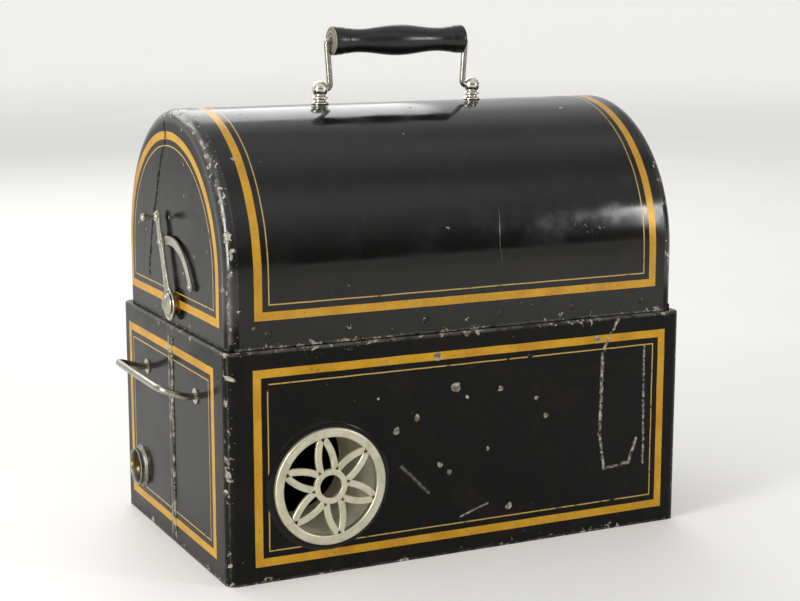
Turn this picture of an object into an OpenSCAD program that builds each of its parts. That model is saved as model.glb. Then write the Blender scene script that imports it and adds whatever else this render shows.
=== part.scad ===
// Portable projection lantern in a japanned carrying case.
// The base stands on the table; the domed cover lifts off it and the lantern stands on the bed board.
// X runs along the case, Y to the back, Z up; the origin is the middle of the underside.

/* [Base box] */
// Length of the base along X
base_length = 350; // [310:1:420]
// Width of the base along Y
base_width = 218; // [200:1:262]
// Height of the base up to the ledge that carries the cover
base_height = 156; // [145:1:190]
// Thickness of the japanned sheet
sheet = 1.2; // [1:0.1:1.6]
// Radius of the upright corners
corner_radius = 7; // [4:0.5:10]
// Height of the locating rim that stands up inside the cover
rim_height = 4.5; // [3:0.5:5.5]
// Thickness of the wooden bed board
board_thickness = 8; // [6:0.5:12]
// Depth of the bed board below the ledge
board_drop = 8; // [6:0.5:12]
// Thickness of the bottom plate
bottom_thickness = 1.6; // [1:0.1:2.5]

/* [Cover] */
// Width of the ledge left bare all round the cover
ledge_width = 4.5; // [3:0.5:6]
// Height of the crown of the cover above the table
crown_height = 305; // [290:1:340]
// Radius of the rolled edge at the two ends of the cover
end_roll = 8; // [5:0.5:10]
// Height of the inner stiffening strip
strip_height = 8; // [6:0.5:10]
// Number of rivets along each long side
rivets_per_side = 6; // [4:1:9]
// Diameter of a rivet head
rivet_diameter = 5; // [4:0.5:6]

/* [Carrying handle] */
// Distance between the two posts
post_spacing = 121; // [112:1:140]
// Diameter of the ball on a post
ball_diameter = 11.6; // [10:0.2:14]
// Height of the ball centre above the crown
ball_height = 10.5; // [9:0.5:13]
// Diameter of the handle wire
wire_diameter = 4.4; // [3.5:0.1:5]
// Height of the grip axis above the ball centres
grip_rise = 33.5; // [30:0.5:45]
// Length of the turned grip
grip_length = 107; // [95:1:110]
// Diameter of the grip at its middle
grip_diameter = 22; // [18:0.5:24]
// Diameter of the grip at its two necks
neck_diameter = 16.8; // [14:0.2:18]
// Diameter of the grip at its two ends
grip_end_diameter = 20.4; // [17:0.2:22]

/* [Ventilator] */
// Place of the ventilator along X, from the middle
vent_x = -103.5; // [-110:0.5:-70]
// Height of the ventilator centre
vent_z = 61; // [55:0.5:70]
// Outer diameter of the rosette
rosette_diameter = 80; // [70:1:84]
// Width of the rosette's rim
rosette_rim = 6.5; // [5:0.5:8]
// Thickness of the rosette
rosette_thickness = 3.4; // [2:0.2:5]
// Outer diameter of the hub ring
hub_diameter = 24; // [20:0.5:28]
// Diameter of the hole in the hub
hub_hole = 15.5; // [10:0.5:17]
// Width of a petal rib
rib_width = 4.4; // [3:0.2:5.5]
// Number of petals
petals = 6; // [5:1:7]
// Turn of the rosette from upright, in degrees
rosette_turn = 10; // [0:1:30]
// Depth of the air duct behind the rosette
duct_depth = 68; // [40:1:75]
// Width of the pressed bezel outside the rosette
bezel_width = 4.5; // [3:0.5:6]

/* [Draw rod] */
// Distance between the two legs
rod_spacing = 104; // [90:1:112]
// Height of the legs
rod_z = 117; // [105:1:120]
// Diameter of the rod
rod_diameter = 4.8; // [4:0.1:6]
// How far the bar stands out when pushed in
rod_reach = 24.5; // [20:0.5:30]
// How far the bar is bent up
rod_upturn = 6.5; // [0:0.5:10]
// How far the rod draws out
rod_travel = 60; // [40:1:70]

/* [Current inlet] */
// Place of the inlet along Y
inlet_y = 73; // [60:0.5:76]
// Height of the inlet
inlet_z = 37; // [30:0.5:45]
// Outer diameter of the shroud
shroud_diameter = 27; // [25:0.5:30]
// How far the shroud stands out
shroud_reach = 5; // [3:0.5:8]
// Diameter of a contact pin
pin_diameter = 4; // [3:0.1:5]
// Distance between the contact pins
pin_spacing = 15; // [13:0.5:17]

/* [End latches] */
// Height of the latch pivot above the ledge
pivot_rise = 15; // [14:0.5:20]
// Distance from the pivot to the finger knob
lever_length = 62; // [55:1:66]
// Lean of the released lever from upright, in degrees
lever_lean = 20; // [15:1:25]
// Turn of the lever from released to locked, in degrees
lever_turn = 75; // [60:1:78]
// Diameter of the round eye of the lever
eye_diameter = 23; // [20:0.5:25]
// Width of the lever arm
arm_width = 8; // [6:0.5:10]
// Radius of the guide quadrant
quadrant_radius = 44; // [40:1:48]
// Width of the guide quadrant
quadrant_width = 6; // [5:0.5:8]
// Diameter of the pivot shaft
shaft_diameter = 7; // [6:0.2:8]

/* [Lantern] */
// Height of the optical axis above the bed board
optic_rise = 62; // [58:0.5:66]
// Length of the lamp house
house_length = 104; // [98:1:110]
// Width of the lamp house
house_width = 92; // [86:1:100]
// Height of the lamp house walls
house_height = 112; // [108:1:118]
// Diameter of the condenser lenses
condenser_diameter = 56; // [48:1:60]
// Width of the picture opening in the stage
picture_size = 46; // [38:1:48]
// Outer diameter of the objective barrel
barrel_diameter = 40; // [34:1:42]
// Length of the objective barrel
barrel_length = 62; // [55:1:64]
// Travel of the objective either side of its middle setting
focus_travel = 12; // [8:1:13]
// Travel of the picture slide either side of the middle
carrier_travel = 26; // [20:1:27]
// Travel of the lamp either side of its middle setting
lamp_travel = 8; // [5:1:9]

/* [Hidden] */

$fn = 96;
eps = 0.01;
rest_gap = 0.3;         // gap between pieces that only rest on each other
run_gap = 0.06;         // radial gap of a shaft in its bore
slip_gap = 0.5;         // gap between the rim and the inside of the cover
half_length = base_length / 2;
half_width = base_width / 2;
cover_length = base_length - 2 * ledge_width + 1;
cover_width = base_width - 2 * ledge_width - 1;
cover_half = cover_length / 2;
arch_radius = cover_width / 2;
spring_z = crown_height - arch_radius;
cover_foot = base_height + rest_gap;
rim_half_x = cover_half - sheet - slip_gap;
rim_half_y = arch_radius - sheet - slip_gap;
board_top = base_height - board_drop;
board_bottom = board_top - board_thickness;
plate_gap = 0.2;        // gap between a flat piece and the sheet round it
// latch
pivot_z = base_height + pivot_rise;
lever_angle = 90 - lever_lean;
quad_low_angle = lever_angle + lever_turn + 11;
quad_top_angle = lever_angle;
spacer = 1.5;
quad_sheet = 1.2;
lever_lift = spacer + quad_sheet + 0.3;
lever_sheet = 2;
guide_pin = 3;
quad_end = quadrant_width + 1;           // diameter of the rounded ends of the quadrant
guide_radius = quadrant_radius + quad_end / 2 + rest_gap + guide_pin / 2;
stud_head = 5;
hook_sheet = 2.5;
hook_reach = 16;
hook_toe = 10;
hook_depth = 9.5;       // distance from the outside of the cover's end to the hook's inner face
// optics
optic_z = board_top + optic_rise;
house_x = -cover_half + 40;
house_top = board_top + house_height;
stage_x = house_x + house_length + 22;
stage_sheet = 4;
carrier_sheet = 6;
sleeve_x = stage_x + 26;
sleeve_length = 44;
sleeve_wall = 1.5;
barrel_wall = 1.6;
barrel_x = stage_x + 34;
pinion_teeth = 14;
gear_module = 0.8;
pinion_radius = pinion_teeth * gear_module / 2;
rack_height = 3;
lamp_x = house_x + 56;
track_top = board_top + 6;

module rounded_block(l, w, h, r) {
    translate([-l / 2 + r, -w / 2, 0]) cube([l - 2 * r, w, h]);
    translate([-l / 2, -w / 2 + r, 0]) cube([l, w - 2 * r, h]);
    for (x = [-1, 1], y = [-1, 1])
        translate([x * (l / 2 - r), y * (w / 2 - r), 0]) cylinder(r = r, h = h);
}

module rod_between(a, b, d) {
    v = b - a;
    len = norm(v);
    translate(a)
        rotate([0, acos(v[2] / len), atan2(v[1], v[0])])
            cylinder(d = d, h = len);
}

module along_x(x, y, z) {
    translate([x, y, z]) rotate([0, 90, 0]) children();
}

module along_y(x, y, z) {
    translate([x, y, z]) rotate([-90, 0, 0]) children();
}

module mirrored_pair() {
    children();
    mirror([1, 0, 0]) children();
}

module tube(outer, inner, h) {
    difference() {
        cylinder(d = outer, h = h);
        translate([0, 0, -eps]) cylinder(d = inner, h = h + 2 * eps);
    }
}

// a domed rivet or screw head standing on z = 0
module dome_head(d, h) {
    sphere_r = (d * d / 4 + h * h) / (2 * h);
    intersection() {
        translate([0, 0, h - sphere_r]) sphere(r = sphere_r);
        cylinder(d = d + 1, h = h + 1);
    }
}

// ---- base ----
module base_shell() {
    color("#1d1e1b")
    difference() {
        union() {
            difference() {
                rounded_block(base_length, base_width, base_height, corner_radius);
                translate([0, 0, -eps])
                    rounded_block(base_length - 2 * sheet, base_width - 2 * sheet,
                                  base_height - sheet + eps, corner_radius - sheet);
            }
            rim_block(base_height - sheet / 2, 0, rim_height + sheet / 2);
        }
        rim_block(base_height - 2 * sheet, sheet, rim_height + 3 * sheet);
        along_y(vent_x, -half_width - 1, vent_z)
            cylinder(d = duct_outer() + 2 * plate_gap, h = sheet + 2);
        along_x(-half_length - 1, inlet_y, inlet_z)
            cylinder(d = block_diameter() + 2 * plate_gap, h = sheet + 2);
        for (s = [-1, 1])
            along_x(-half_length - 1, s * rod_spacing / 2, rod_z)
                cylinder(d = ferrule_body() + 2 * plate_gap, h = sheet + 2);
    }
}

// the outline of the locating rim, drawn in by inset all round
module rim_block(z, inset, h) {
    translate([0, 0, z])
        rounded_block(2 * (rim_half_x - inset), 2 * (rim_half_y - inset), h,
                      end_roll - sheet - slip_gap - inset);
}

module base_bottom() {
    color("#22221f")
    rounded_block(base_length - 2 * sheet - 2 * plate_gap, base_width - 2 * sheet - 2 * plate_gap,
                  bottom_thickness, corner_radius - sheet);
}

seam_width = 9;
seam_lift = 0.9;
module seam_strip() {
    color("#252622")
    translate([-half_length - seam_lift, -seam_width / 2, 6]) {
        cube([seam_lift, seam_width, base_height - 14]);
        translate([-seam_lift / 2, seam_width / 2, 0]) cube([seam_lift / 2 + eps, 2, base_height - 14]);
    }
}

board_length = base_length - 2 * sheet - 2 * rest_gap;
board_width = base_width - 2 * sheet - 2 * rest_gap;
module bed_board() {
    color("#6b4526")
    difference() {
        translate([0, 0, board_bottom])
            rounded_block(board_length, board_width, board_thickness, corner_radius - sheet);
        translate([lamp_x, 34, board_bottom - 1]) cylinder(d = 14, h = board_thickness + 2);
        translate([lamp_x, -34, board_bottom - 1]) cylinder(d = 14, h = board_thickness + 2);
        for (x = [-1, 1], y = [-1, 1]) translate([x * cleat_x, y * cleat_y, board_bottom - 1])
            cylinder(d = screw_shank + 2 * plate_gap, h = board_thickness + 2);
    }
}

cleat_leg = 16;
cleat_sheet = 2;
cleat_x = half_length - 30;
cleat_y = half_width - sheet - plate_gap - cleat_leg / 2;
screw_shank = 4;
module board_cleats() {
    color("#6f6d66")
    for (x = [-1, 1], y = [-1, 1])
        translate([x * cleat_x, y * (half_width - sheet - plate_gap), board_bottom])
            mirror([0, y > 0 ? 1 : 0, 0])
                difference() {
                    union() {
                        translate([-12, 0, -cleat_sheet]) cube([24, cleat_leg, cleat_sheet]);
                        translate([-12, 0, -cleat_leg])
                            cube([24, cleat_sheet, cleat_leg - cleat_sheet + eps]);
                    }
                    translate([0, cleat_leg / 2, -cleat_sheet - 1])
                        cylinder(d = screw_shank + 2 * plate_gap, h = cleat_sheet + 2);
                }
}

module board_screws() {
    color("#a8905a")
    for (x = [-1, 1], y = [-1, 1])
        translate([x * cleat_x, y * cleat_y, board_top]) {
            dome_head(8, 2.2);
            translate([0, 0, -board_thickness - cleat_sheet - 3])
                cylinder(d = screw_shank, h = board_thickness + cleat_sheet + 3 + eps);
        }
}

// ---- ventilator ----
duct_wall = 1.2;
bezel_lift = 1.6;
function duct_outer() = rosette_diameter - 4;
duct_inner = duct_outer() - 2 * duct_wall;

module vent_bezel() {
    color("#1b1c19")
    along_y(vent_x, -half_width - bezel_lift, vent_z)
        difference() {
            union() {
                translate([0, 0, bezel_lift / 2])
                    cylinder(d = rosette_diameter + 2 * bezel_width, h = bezel_lift / 2);
                cylinder(d1 = rosette_diameter + 2 * bezel_width - 3,
                         d2 = rosette_diameter + 2 * bezel_width, h = bezel_lift / 2 + eps);
            }
            translate([0, 0, -1]) cylinder(d = duct_outer() + 2 * plate_gap, h = bezel_lift + 2);
        }
}

module vent_duct() {
    color("#cfc9b2")
    along_y(vent_x, -half_width - bezel_lift, vent_z) {
        tube(duct_outer(), duct_inner, duct_depth);
        translate([0, 0, bezel_lift + sheet + plate_gap])
            tube(duct_outer() + 10, duct_outer() - eps, 1.2);
    }
}

petal_reach = 17;                        // half the length of a petal
petal_bulge = 8;                         // half the width of a petal
petal_centre = petal_reach + 2;
petal_arc = (petal_reach * petal_reach + petal_bulge * petal_bulge) / (2 * petal_bulge);
module petal(grow, z0, h) {
    intersection() {
        petal_side(1, grow, z0, h);
        petal_side(-1, grow, z0, h);
    }
}
// one of the two discs whose overlap is a petal
module petal_side(s, grow, z0, h) {
    translate([petal_centre * rosette_scale, s * (petal_arc - petal_bulge), z0])
        cylinder(r = petal_arc + grow, h = h);
}
rosette_scale = (rosette_diameter / 2 - rosette_rim) / 33.5;

// the raised outline of one petal, running into the hub and into the rim
module petal_rib() {
    difference() {
        petal(rib_width / 2, 0.3, rosette_thickness - 1.1);
        petal(-rib_width / 2, -1, rosette_thickness + 2);
        translate([0, 0, -1]) cylinder(d = hub_diameter - 2, h = rosette_thickness + 2);
        translate([0, 0, -1])
            tube(2 * rosette_diameter, rosette_diameter - rosette_rim, rosette_thickness + 2);
    }
}

module vent_rosette() {
    spigot = 3;
    color("#c9c4ae")
    along_y(vent_x, -half_width - bezel_lift - rosette_thickness, vent_z)
        rotate([0, 0, -90 - rosette_turn])
            difference() {
                union() {
                    tube(rosette_diameter, rosette_diameter - 2 * rosette_rim, rosette_thickness);
                    translate([0, 0, rosette_thickness - eps])
                        tube(duct_inner - 2 * plate_gap, duct_inner - 5, spigot);
                    cylinder(d = hub_diameter, h = rosette_thickness - 0.6);
                    for (i = [0 : petals - 1]) rotate([0, 0, i * 360 / petals])
                        petal_rib();
                }
                translate([0, 0, -1]) cylinder(d = hub_hole, h = rosette_thickness + 2);
            }
}

// ---- current inlet ----
function block_diameter() = shroud_diameter - 2.6;
module inlet_shroud() {
    color("#9d9a90")
    along_x(-half_length - shroud_reach, inlet_y, inlet_z) {
        tube(shroud_diameter, block_diameter() + 2 * plate_gap, shroud_reach);
        translate([0, 0, shroud_reach - 0.8])
            tube(shroud_diameter + 5, shroud_diameter - eps, 0.8);
    }
}

module inlet_block() {
    color("#141412")
    along_x(-half_length - 1, inlet_y, inlet_z)
        difference() {
            cylinder(d = block_diameter(), h = 15);
            for (s = [-1, 1])
                translate([0, s * pin_spacing / 2, -1])
                    cylinder(d = pin_diameter + 2 * run_gap, h = 17);
        }
}

module inlet_pins() {
    color("#b09a62")
    for (s = [-1, 1])
        along_x(-half_length - shroud_reach - 1.5, inlet_y + s * pin_spacing / 2, inlet_z) {
            translate([0, 0, pin_diameter / 2]) cylinder(d = pin_diameter, h = 22);
            translate([0, 0, pin_diameter / 2]) sphere(d = pin_diameter);
        }
}

// ---- draw rod ----
function ferrule_body() = rod_diameter + 2.4;
ferrule_in = 10;
module rod_ferrules() {
    color("#8f8a7c")
    for (s = [-1, 1])
        along_x(-half_length - 1, s * rod_spacing / 2, rod_z)
            difference() {
                union() {
                    cylinder(d = rod_diameter + 6, h = 1);
                    cylinder(d = ferrule_body(), h = ferrule_in);
                }
                translate([0, 0, -1]) cylinder(d = rod_diameter + 2 * run_gap, h = ferrule_in + 2);
            }
}

guide_x = -half_length + 78;
guide_sheet = 3;
module rod_guide() {
    guide_w = rod_spacing + 30;
    color("#77746b")
    difference() {
        union() {
            translate([guide_x, -guide_w / 2, rod_z - 10])
                cube([guide_sheet, guide_w, board_bottom - rod_z + 10]);
            translate([guide_x, -guide_w / 2, board_bottom - guide_sheet])
                cube([16, guide_w, guide_sheet]);
        }
        for (s = [-1, 1])
            along_x(guide_x - 1, s * rod_spacing / 2, rod_z)
                cylinder(d = rod_diameter + 2 * run_gap, h = guide_sheet + 2);
    }
}

rod_tail = guide_x + guide_sheet + rod_travel + 8;
rod_bend = 12;                           // radius of the bend at each end of the bar
rod_knee = -half_length - 5;             // where the legs turn up
knee_swell = 0.06;                       // how much fuller a bent wire is at a sharp bend
bar_x = -half_length - rod_reach;
rod_tilt = atan(rod_upturn / (rod_knee - bar_x));
rod_arm = norm([rod_knee - bar_x, rod_upturn]) - rod_bend;
module draw_rod() {
    color("#8a8578") {
        for (s = [-1, 1]) {
            along_x(rod_knee, s * rod_spacing / 2, rod_z)
                cylinder(d = rod_diameter, h = rod_tail - rod_knee);
            translate([rod_knee, s * rod_spacing / 2, rod_z]) sphere(d = rod_diameter + knee_swell);
        }
        // the bar and its bends lie in one plane that is turned up at the knees
        translate([rod_knee, 0, rod_z]) rotate([0, rod_tilt, 0]) {
            for (s = [0, 1]) mirror([0, s, 0]) {
                along_x(-rod_arm, rod_spacing / 2, 0) cylinder(d = rod_diameter, h = rod_arm);
                translate([-rod_arm, rod_spacing / 2 - rod_bend, 0])
                    rotate([0, 0, 90]) rotate_extrude(angle = 90)
                        translate([rod_bend, 0]) circle(d = rod_diameter);
            }
            along_y(-rod_arm - rod_bend, -rod_spacing / 2 + rod_bend, 0)
                cylinder(d = rod_diameter, h = rod_spacing - 2 * rod_bend);
        }
    }
}

module rod_stops() {
    color("#a38f5c")
    for (s = [-1, 1])
        along_x(rod_tail - 7, s * rod_spacing / 2, rod_z)
            tube(rod_diameter + 7, rod_diameter + 2 * run_gap, 6);
}

// ---- latch keepers on the bed board ----
keeper_width = 7;
keeper_x = cover_half - hook_depth + hook_sheet - rest_gap - keeper_width;
keeper_sheet = 2;
tab_z = pivot_z - 11.5;                  // underside of the tab that the hook turns under
module latch_keepers() {
    color("#8c8a82")
    mirrored_pair() {
        translate([keeper_x, 1.5, tab_z]) cube([keeper_width, 10.5, keeper_sheet]);
        translate([keeper_x, 10, board_top]) cube([keeper_width, keeper_sheet, tab_z - board_top + 1]);
        translate([keeper_x - 12, 10, board_top]) cube([keeper_width + 12, 16, keeper_sheet]);
    }
}

// ---- transformer ----
core_x = 62;
core_l = 86;
core_w = 60;
core_h = 70;
core_limb = 15;                          // width of the outer limbs
window_width = 22;
window_place = core_l / 4 - core_limb / 4 + 2.5; // from the middle to the centre of a window
module transformer_core() {
    color("#4a4a48")
    translate([core_x, 0, bottom_thickness])
        difference() {
            translate([-core_l / 2, -core_w / 2, 0]) cube([core_l, core_w, core_h]);
            for (s = [-1, 1])
                translate([s * window_place - window_width / 2, -core_w / 2 - 1, core_limb])
                    cube([window_width, core_w + 2, core_h - 2 * core_limb]);
        }
}

coil_gap = 0.6;
coil_hole = 2 * (window_place - window_width / 2) + 2 * coil_gap;
module transformer_coil() {
    inner_l = core_l / 2 - core_limb / 2 - window_width + 5;
    color("#7a4a22")
    translate([core_x, 0, bottom_thickness + core_limb + coil_gap])
        difference() {
            rounded_block(inner_l + 28, core_w + 24, core_h - 2 * core_limb - 2 * coil_gap, 6);
            translate([-coil_hole / 2, -core_w / 2 - coil_gap, -1])
                cube([coil_hole, core_w + 2 * coil_gap, core_h]);
        }
}

module transformer_straps() {
    color("#8d8b83")
    for (s = [-1, 1])
        translate([core_x + s * (core_l / 2 + 1.7), -core_w / 2, bottom_thickness]) {
            translate([-1.5, 0, 0]) cube([3, core_w, 24]);
            translate([s > 0 ? -1.5 : -12.5, 0, 0]) cube([14, core_w, 2]);
        }
}

// ---- lamp house ----
house_sheet = 1.4;
module lamp_house() {
    color("#232421")
    difference() {
        translate([house_x, -house_width / 2, board_top])
            cube([house_length, house_width, house_height]);
        translate([house_x + house_sheet, -house_width / 2 + house_sheet, board_top - 1])
            cube([house_length - 2 * house_sheet, house_width - 2 * house_sheet,
                  house_height - house_sheet + 1]);
        along_x(house_x + house_length - 5, 0, optic_z)
            cylinder(d = condenser_diameter + 6 + 2 * plate_gap, h = 10);
        translate([house_x + house_length / 2, 0, house_top - 5]) cylinder(d = 50, h = 10);
        // hand opening in the back wall
        translate([house_x + 22, house_width / 2 - 5, board_top + 22]) cube([60, 10, 64]);
    }
}

module house_cowl() {
    color("#2a2b27")
    translate([house_x + house_length / 2, 0, house_top]) {
        tube(58, 55, 12);
        for (a = [0 : 90 : 270]) rotate([0, 0, a]) translate([27, -2, 12 - eps]) cube([1.5, 4, 9.2]);
        translate([0, 0, 17]) difference() {
            cylinder(d1 = 74, d2 = 60, h = 5);
            translate([0, 0, -eps]) cylinder(d1 = 70, d2 = 57, h = 4);
        }
    }
}

track_half = 7;                          // half the width of the groove
track_back = lamp_x - 40 - lamp_travel;
track_front = lamp_x + 32 + lamp_travel;
track_floor = board_top + 2;
module lamp_track() {
    color("#918d80")
    difference() {
        translate([track_back, -16, board_top])
            cube([track_front - track_back, 32, track_top - board_top]);
        translate([track_back - 1, -track_half, track_floor])
            cube([track_front - track_back + 2, 2 * track_half, track_top]);
    }
}

module lamp_carriage() {
    color("#a59a74")
    difference() {
        union() {
            translate([lamp_x - 14, -track_half + rest_gap, track_floor + rest_gap])
                cube([28, 2 * (track_half - rest_gap), track_top - board_top + 2]);
            translate([lamp_x, 0, board_top + 8]) cylinder(d = 12, h = 14);
        }
        translate([lamp_x, 0, board_top + 12]) cylinder(d = 6, h = 12);
    }
}

socket_foot = board_top + 22;
module lamp_socket() {
    color("#e2ddd0")
    translate([lamp_x, 0, socket_foot])
        difference() {
            union() {
                cylinder(d = 30, h = 8);
                cylinder(d = 24, h = 22);
            }
            translate([0, 0, 8]) cylinder(d = 17, h = 20);
        }
}

bulb_radius = 20;
module lamp_bulb() {
    color("#dfe6e8", 0.4) {
        translate([lamp_x, 0, optic_z]) sphere(r = bulb_radius);
        translate([lamp_x, 0, socket_foot + 8.3]) cylinder(d = 15, h = optic_z - socket_foot - 20);
    }
}

mirror_arc = 46;
module reflector() {
    color("#d8d8d4")
    translate([lamp_x - 28, 0, 0]) {
        along_x(-9, 0, optic_z) rotate([0, 0, 90])
            difference() {
                intersection() {
                    translate([0, 0, mirror_arc]) sphere(r = mirror_arc);
                    cylinder(d = 54, h = 12);
                }
                translate([0, 0, mirror_arc]) sphere(r = mirror_arc - 1.6);
            }
        // stem and foot, one bent strip that is fixed to the carriage
        translate([-10.5, -5, track_floor + rest_gap]) cube([2.5, 10, optic_rise - 4]);
        translate([-10.5, -5, track_floor + rest_gap]) cube([24.5, 10, 2.5]);
    }
}

// ---- condenser ----
condenser_x = house_x + house_length - 16;
condenser_length = 34;
module condenser_barrel() {
    color("#b08d4a")
    along_x(condenser_x, 0, optic_z) {
        tube(condenser_diameter + 6, condenser_diameter + 2 * plate_gap, condenser_length);
        translate([0, 0, 16 + plate_gap])
            tube(condenser_diameter + 16, condenser_diameter + 6 - eps, 2);
        translate([0, 0, 15]) tube(condenser_diameter + 2 * plate_gap + eps, condenser_diameter - 5, 4);
    }
}

module plano_convex(d, h) {
    lens_r = (d * d / 4 + h * h) / (2 * h);
    intersection() {
        translate([0, 0, h - lens_r]) sphere(r = lens_r);
        cylinder(d = d, h = h + 1);
    }
    translate([0, 0, -2]) cylinder(d = d, h = 2 + eps);
}

module condenser_lenses() {
    color("#dfeaea", 0.4) {
        along_x(condenser_x + 21 + rest_gap, 0, optic_z) plano_convex(condenser_diameter - 1, 7);
        along_x(condenser_x + 13 - rest_gap, 0, optic_z) mirror([0, 0, 1])
            plano_convex(condenser_diameter - 1, 7);
    }
}

module condenser_ring() {
    color("#b08d4a") {
        along_x(condenser_x + 23, 0, optic_z) tube(condenser_diameter, condenser_diameter - 6, 2.5);
        along_x(condenser_x + 8.5, 0, optic_z) tube(condenser_diameter, condenser_diameter - 6, 2.5);
    }
}

// ---- slide stage ----
stage_h = 92;
stage_w = 84;
module stage_frame() {
    color("#8a6a3c")
    difference() {
        union() {
            for (x = [0, stage_sheet + carrier_sheet + 2 * rest_gap])
                translate([stage_x + x, -stage_w / 2, board_top]) cube([stage_sheet, stage_w, stage_h]);
            translate([stage_x, -stage_w / 2, board_top])
                cube([2 * stage_sheet + carrier_sheet + 2 * rest_gap, stage_w, optic_rise - 31]);
            translate([stage_x, -stage_w / 2, board_top + stage_h - 4 + eps])
                cube([2 * stage_sheet + carrier_sheet + 2 * rest_gap, stage_w, 4]);
        }
        translate([stage_x - 1, -picture_size / 2, optic_z - picture_size / 2])
            cube([30, picture_size, picture_size]);
    }
}

carrier_z = optic_z - 31 + rest_gap;
carrier_h = 56;
carrier_x = stage_x + stage_sheet + rest_gap;
carrier_l = 118;
module slide_carrier() {
    color("#7b5027")
    difference() {
        translate([carrier_x, -carrier_l / 2, carrier_z])
            cube([carrier_sheet, carrier_l, carrier_h]);
        for (s = [-1, 1])
            translate([stage_x, s * carrier_travel - picture_size / 2 + 3, carrier_z + 9])
                cube([20, picture_size - 6, carrier_h - 18]);
        for (s = [-1, 1])
            translate([carrier_x + 2, s * carrier_travel - picture_size / 2 + 1, carrier_z + 6])
                cube([2.4, picture_size - 2, carrier_h]);
    }
}

module picture_glass() {
    color("#c8d4d4", 0.5)
    for (s = [-1, 1])
        translate([carrier_x + 2.2, s * carrier_travel - picture_size / 2 + 1.3, carrier_z + 6.3])
            cube([2, picture_size - 2.6, carrier_h - 8]);
}

// ---- objective ----
sleeve_inner = barrel_diameter + 2 * run_gap;
sleeve_outer = sleeve_inner + 2 * sleeve_wall;
rack_slot = 8;
module focus_sleeve() {
    flange_x = stage_x + 2 * stage_sheet + carrier_sheet + 2 * rest_gap;
    color("#b8954f")
    difference() {
        union() {
            along_x(flange_x, 0, optic_z) tube(sleeve_outer + 18, sleeve_inner, 2);
            along_x(flange_x, 0, optic_z)
                tube(sleeve_outer, sleeve_inner, sleeve_x + sleeve_length - flange_x);
            for (s = [-1, 1])
                translate([pinion_x - 6, s * 9 - 2, optic_z - sleeve_outer / 2 - 13])
                    cube([12, 4, 15.5]);
        }
        translate([flange_x + 2.5, -rack_slot / 2, optic_z - sleeve_outer])
            cube([sleeve_x + sleeve_length - flange_x, rack_slot, sleeve_outer / 2 + 8]);
        along_y(pinion_x, -30, pinion_z) cylinder(d = axle_diameter + 2 * run_gap, h = 60);
        along_x(flange_x - 1, 0, optic_z) cylinder(d = sleeve_inner, h = 80);
    }
}

pinion_x = sleeve_x + 22;
axle_diameter = 4;
rack_root = optic_z - barrel_diameter / 2 - rack_height;
pinion_z = rack_root - pinion_radius - 0.1;

module objective_barrel() {
    color("#c09c55")
    along_x(barrel_x, 0, optic_z) {
        tube(barrel_diameter, barrel_diameter - 2 * barrel_wall, barrel_length);
        translate([0, 0, barrel_length - 5]) tube(barrel_diameter + 8, barrel_diameter - eps, 5);
        for (z = [8, barrel_length - 12])
            translate([0, 0, z])
                tube(barrel_diameter - 2 * barrel_wall + eps, barrel_diameter - 2 * barrel_wall - 5, 2);
    }
}

module objective_lenses() {
    lens_d = barrel_diameter - 2 * barrel_wall - 0.6;
    color("#dfeaea", 0.4) {
        along_x(barrel_x + 12.4, 0, optic_z) plano_convex(lens_d, 4);
        along_x(barrel_x + barrel_length - 14.4, 0, optic_z) mirror([0, 0, 1]) plano_convex(lens_d, 4);
    }
}

rack_length = 2 * focus_travel + 12;     // teeth for the travel and for the mesh
tooth_pitch = 3.14159 * gear_module;
module focus_rack() {
    rack_x = pinion_x - rack_length / 2;
    teeth = floor(rack_length / tooth_pitch / 2) * 2;
    color("#b59250")
    difference() {
        translate([rack_x, -3, rack_root - gear_module])
            cube([rack_length, 6, rack_height + gear_module + 0.9]);
        for (i = [-teeth / 2 : teeth / 2])
            translate([pinion_x + i * tooth_pitch, 0, rack_root - gear_module])
                rotate([90, 0, 0]) linear_extrude(7, center = true)
                    polygon([[-tooth_pitch * 0.36, -1], [tooth_pitch * 0.36, -1],
                             [tooth_pitch * 0.36, 0], [tooth_pitch * 0.16, 1.9 * gear_module],
                             [-tooth_pitch * 0.16, 1.9 * gear_module], [-tooth_pitch * 0.36, 0]]);
        along_x(rack_x - 1, 0, optic_z) cylinder(d = barrel_diameter + 0.02, h = rack_length + 2);
    }
}

module focus_pinion() {
    color("#a8905a") {
        along_y(pinion_x, -24, pinion_z) cylinder(d = axle_diameter, h = 48);
        along_y(pinion_x, -3.2, pinion_z) {
            cylinder(r = pinion_radius - 1.25 * gear_module, h = 6.4);
            for (i = [0 : pinion_teeth - 1])
                rotate([0, 0, 90 + i * 360 / pinion_teeth]) linear_extrude(6.4)
                    polygon([[pinion_radius - 1.4 * gear_module, -0.6], [pinion_radius, -0.42],
                             [pinion_radius + 0.75 * gear_module, -0.2],
                             [pinion_radius + 0.75 * gear_module, 0.2],
                             [pinion_radius, 0.42], [pinion_radius - 1.4 * gear_module, 0.6]]);
        }
    }
}

module focus_knob() {
    color("#b8954f")
    for (s = [-1, 1])
        along_y(pinion_x, s > 0 ? 16 : -24, pinion_z)
            difference() {
                cylinder(d = 20, h = 8);
                translate([0, 0, -1]) cylinder(d = axle_diameter + 2 * run_gap, h = 10);
                for (i = [0 : 15]) rotate([0, 0, i * 22.5]) translate([10.4, 0, -1])
                    cylinder(d = 1.6, h = 10, $fn = 16);
            }
}

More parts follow.
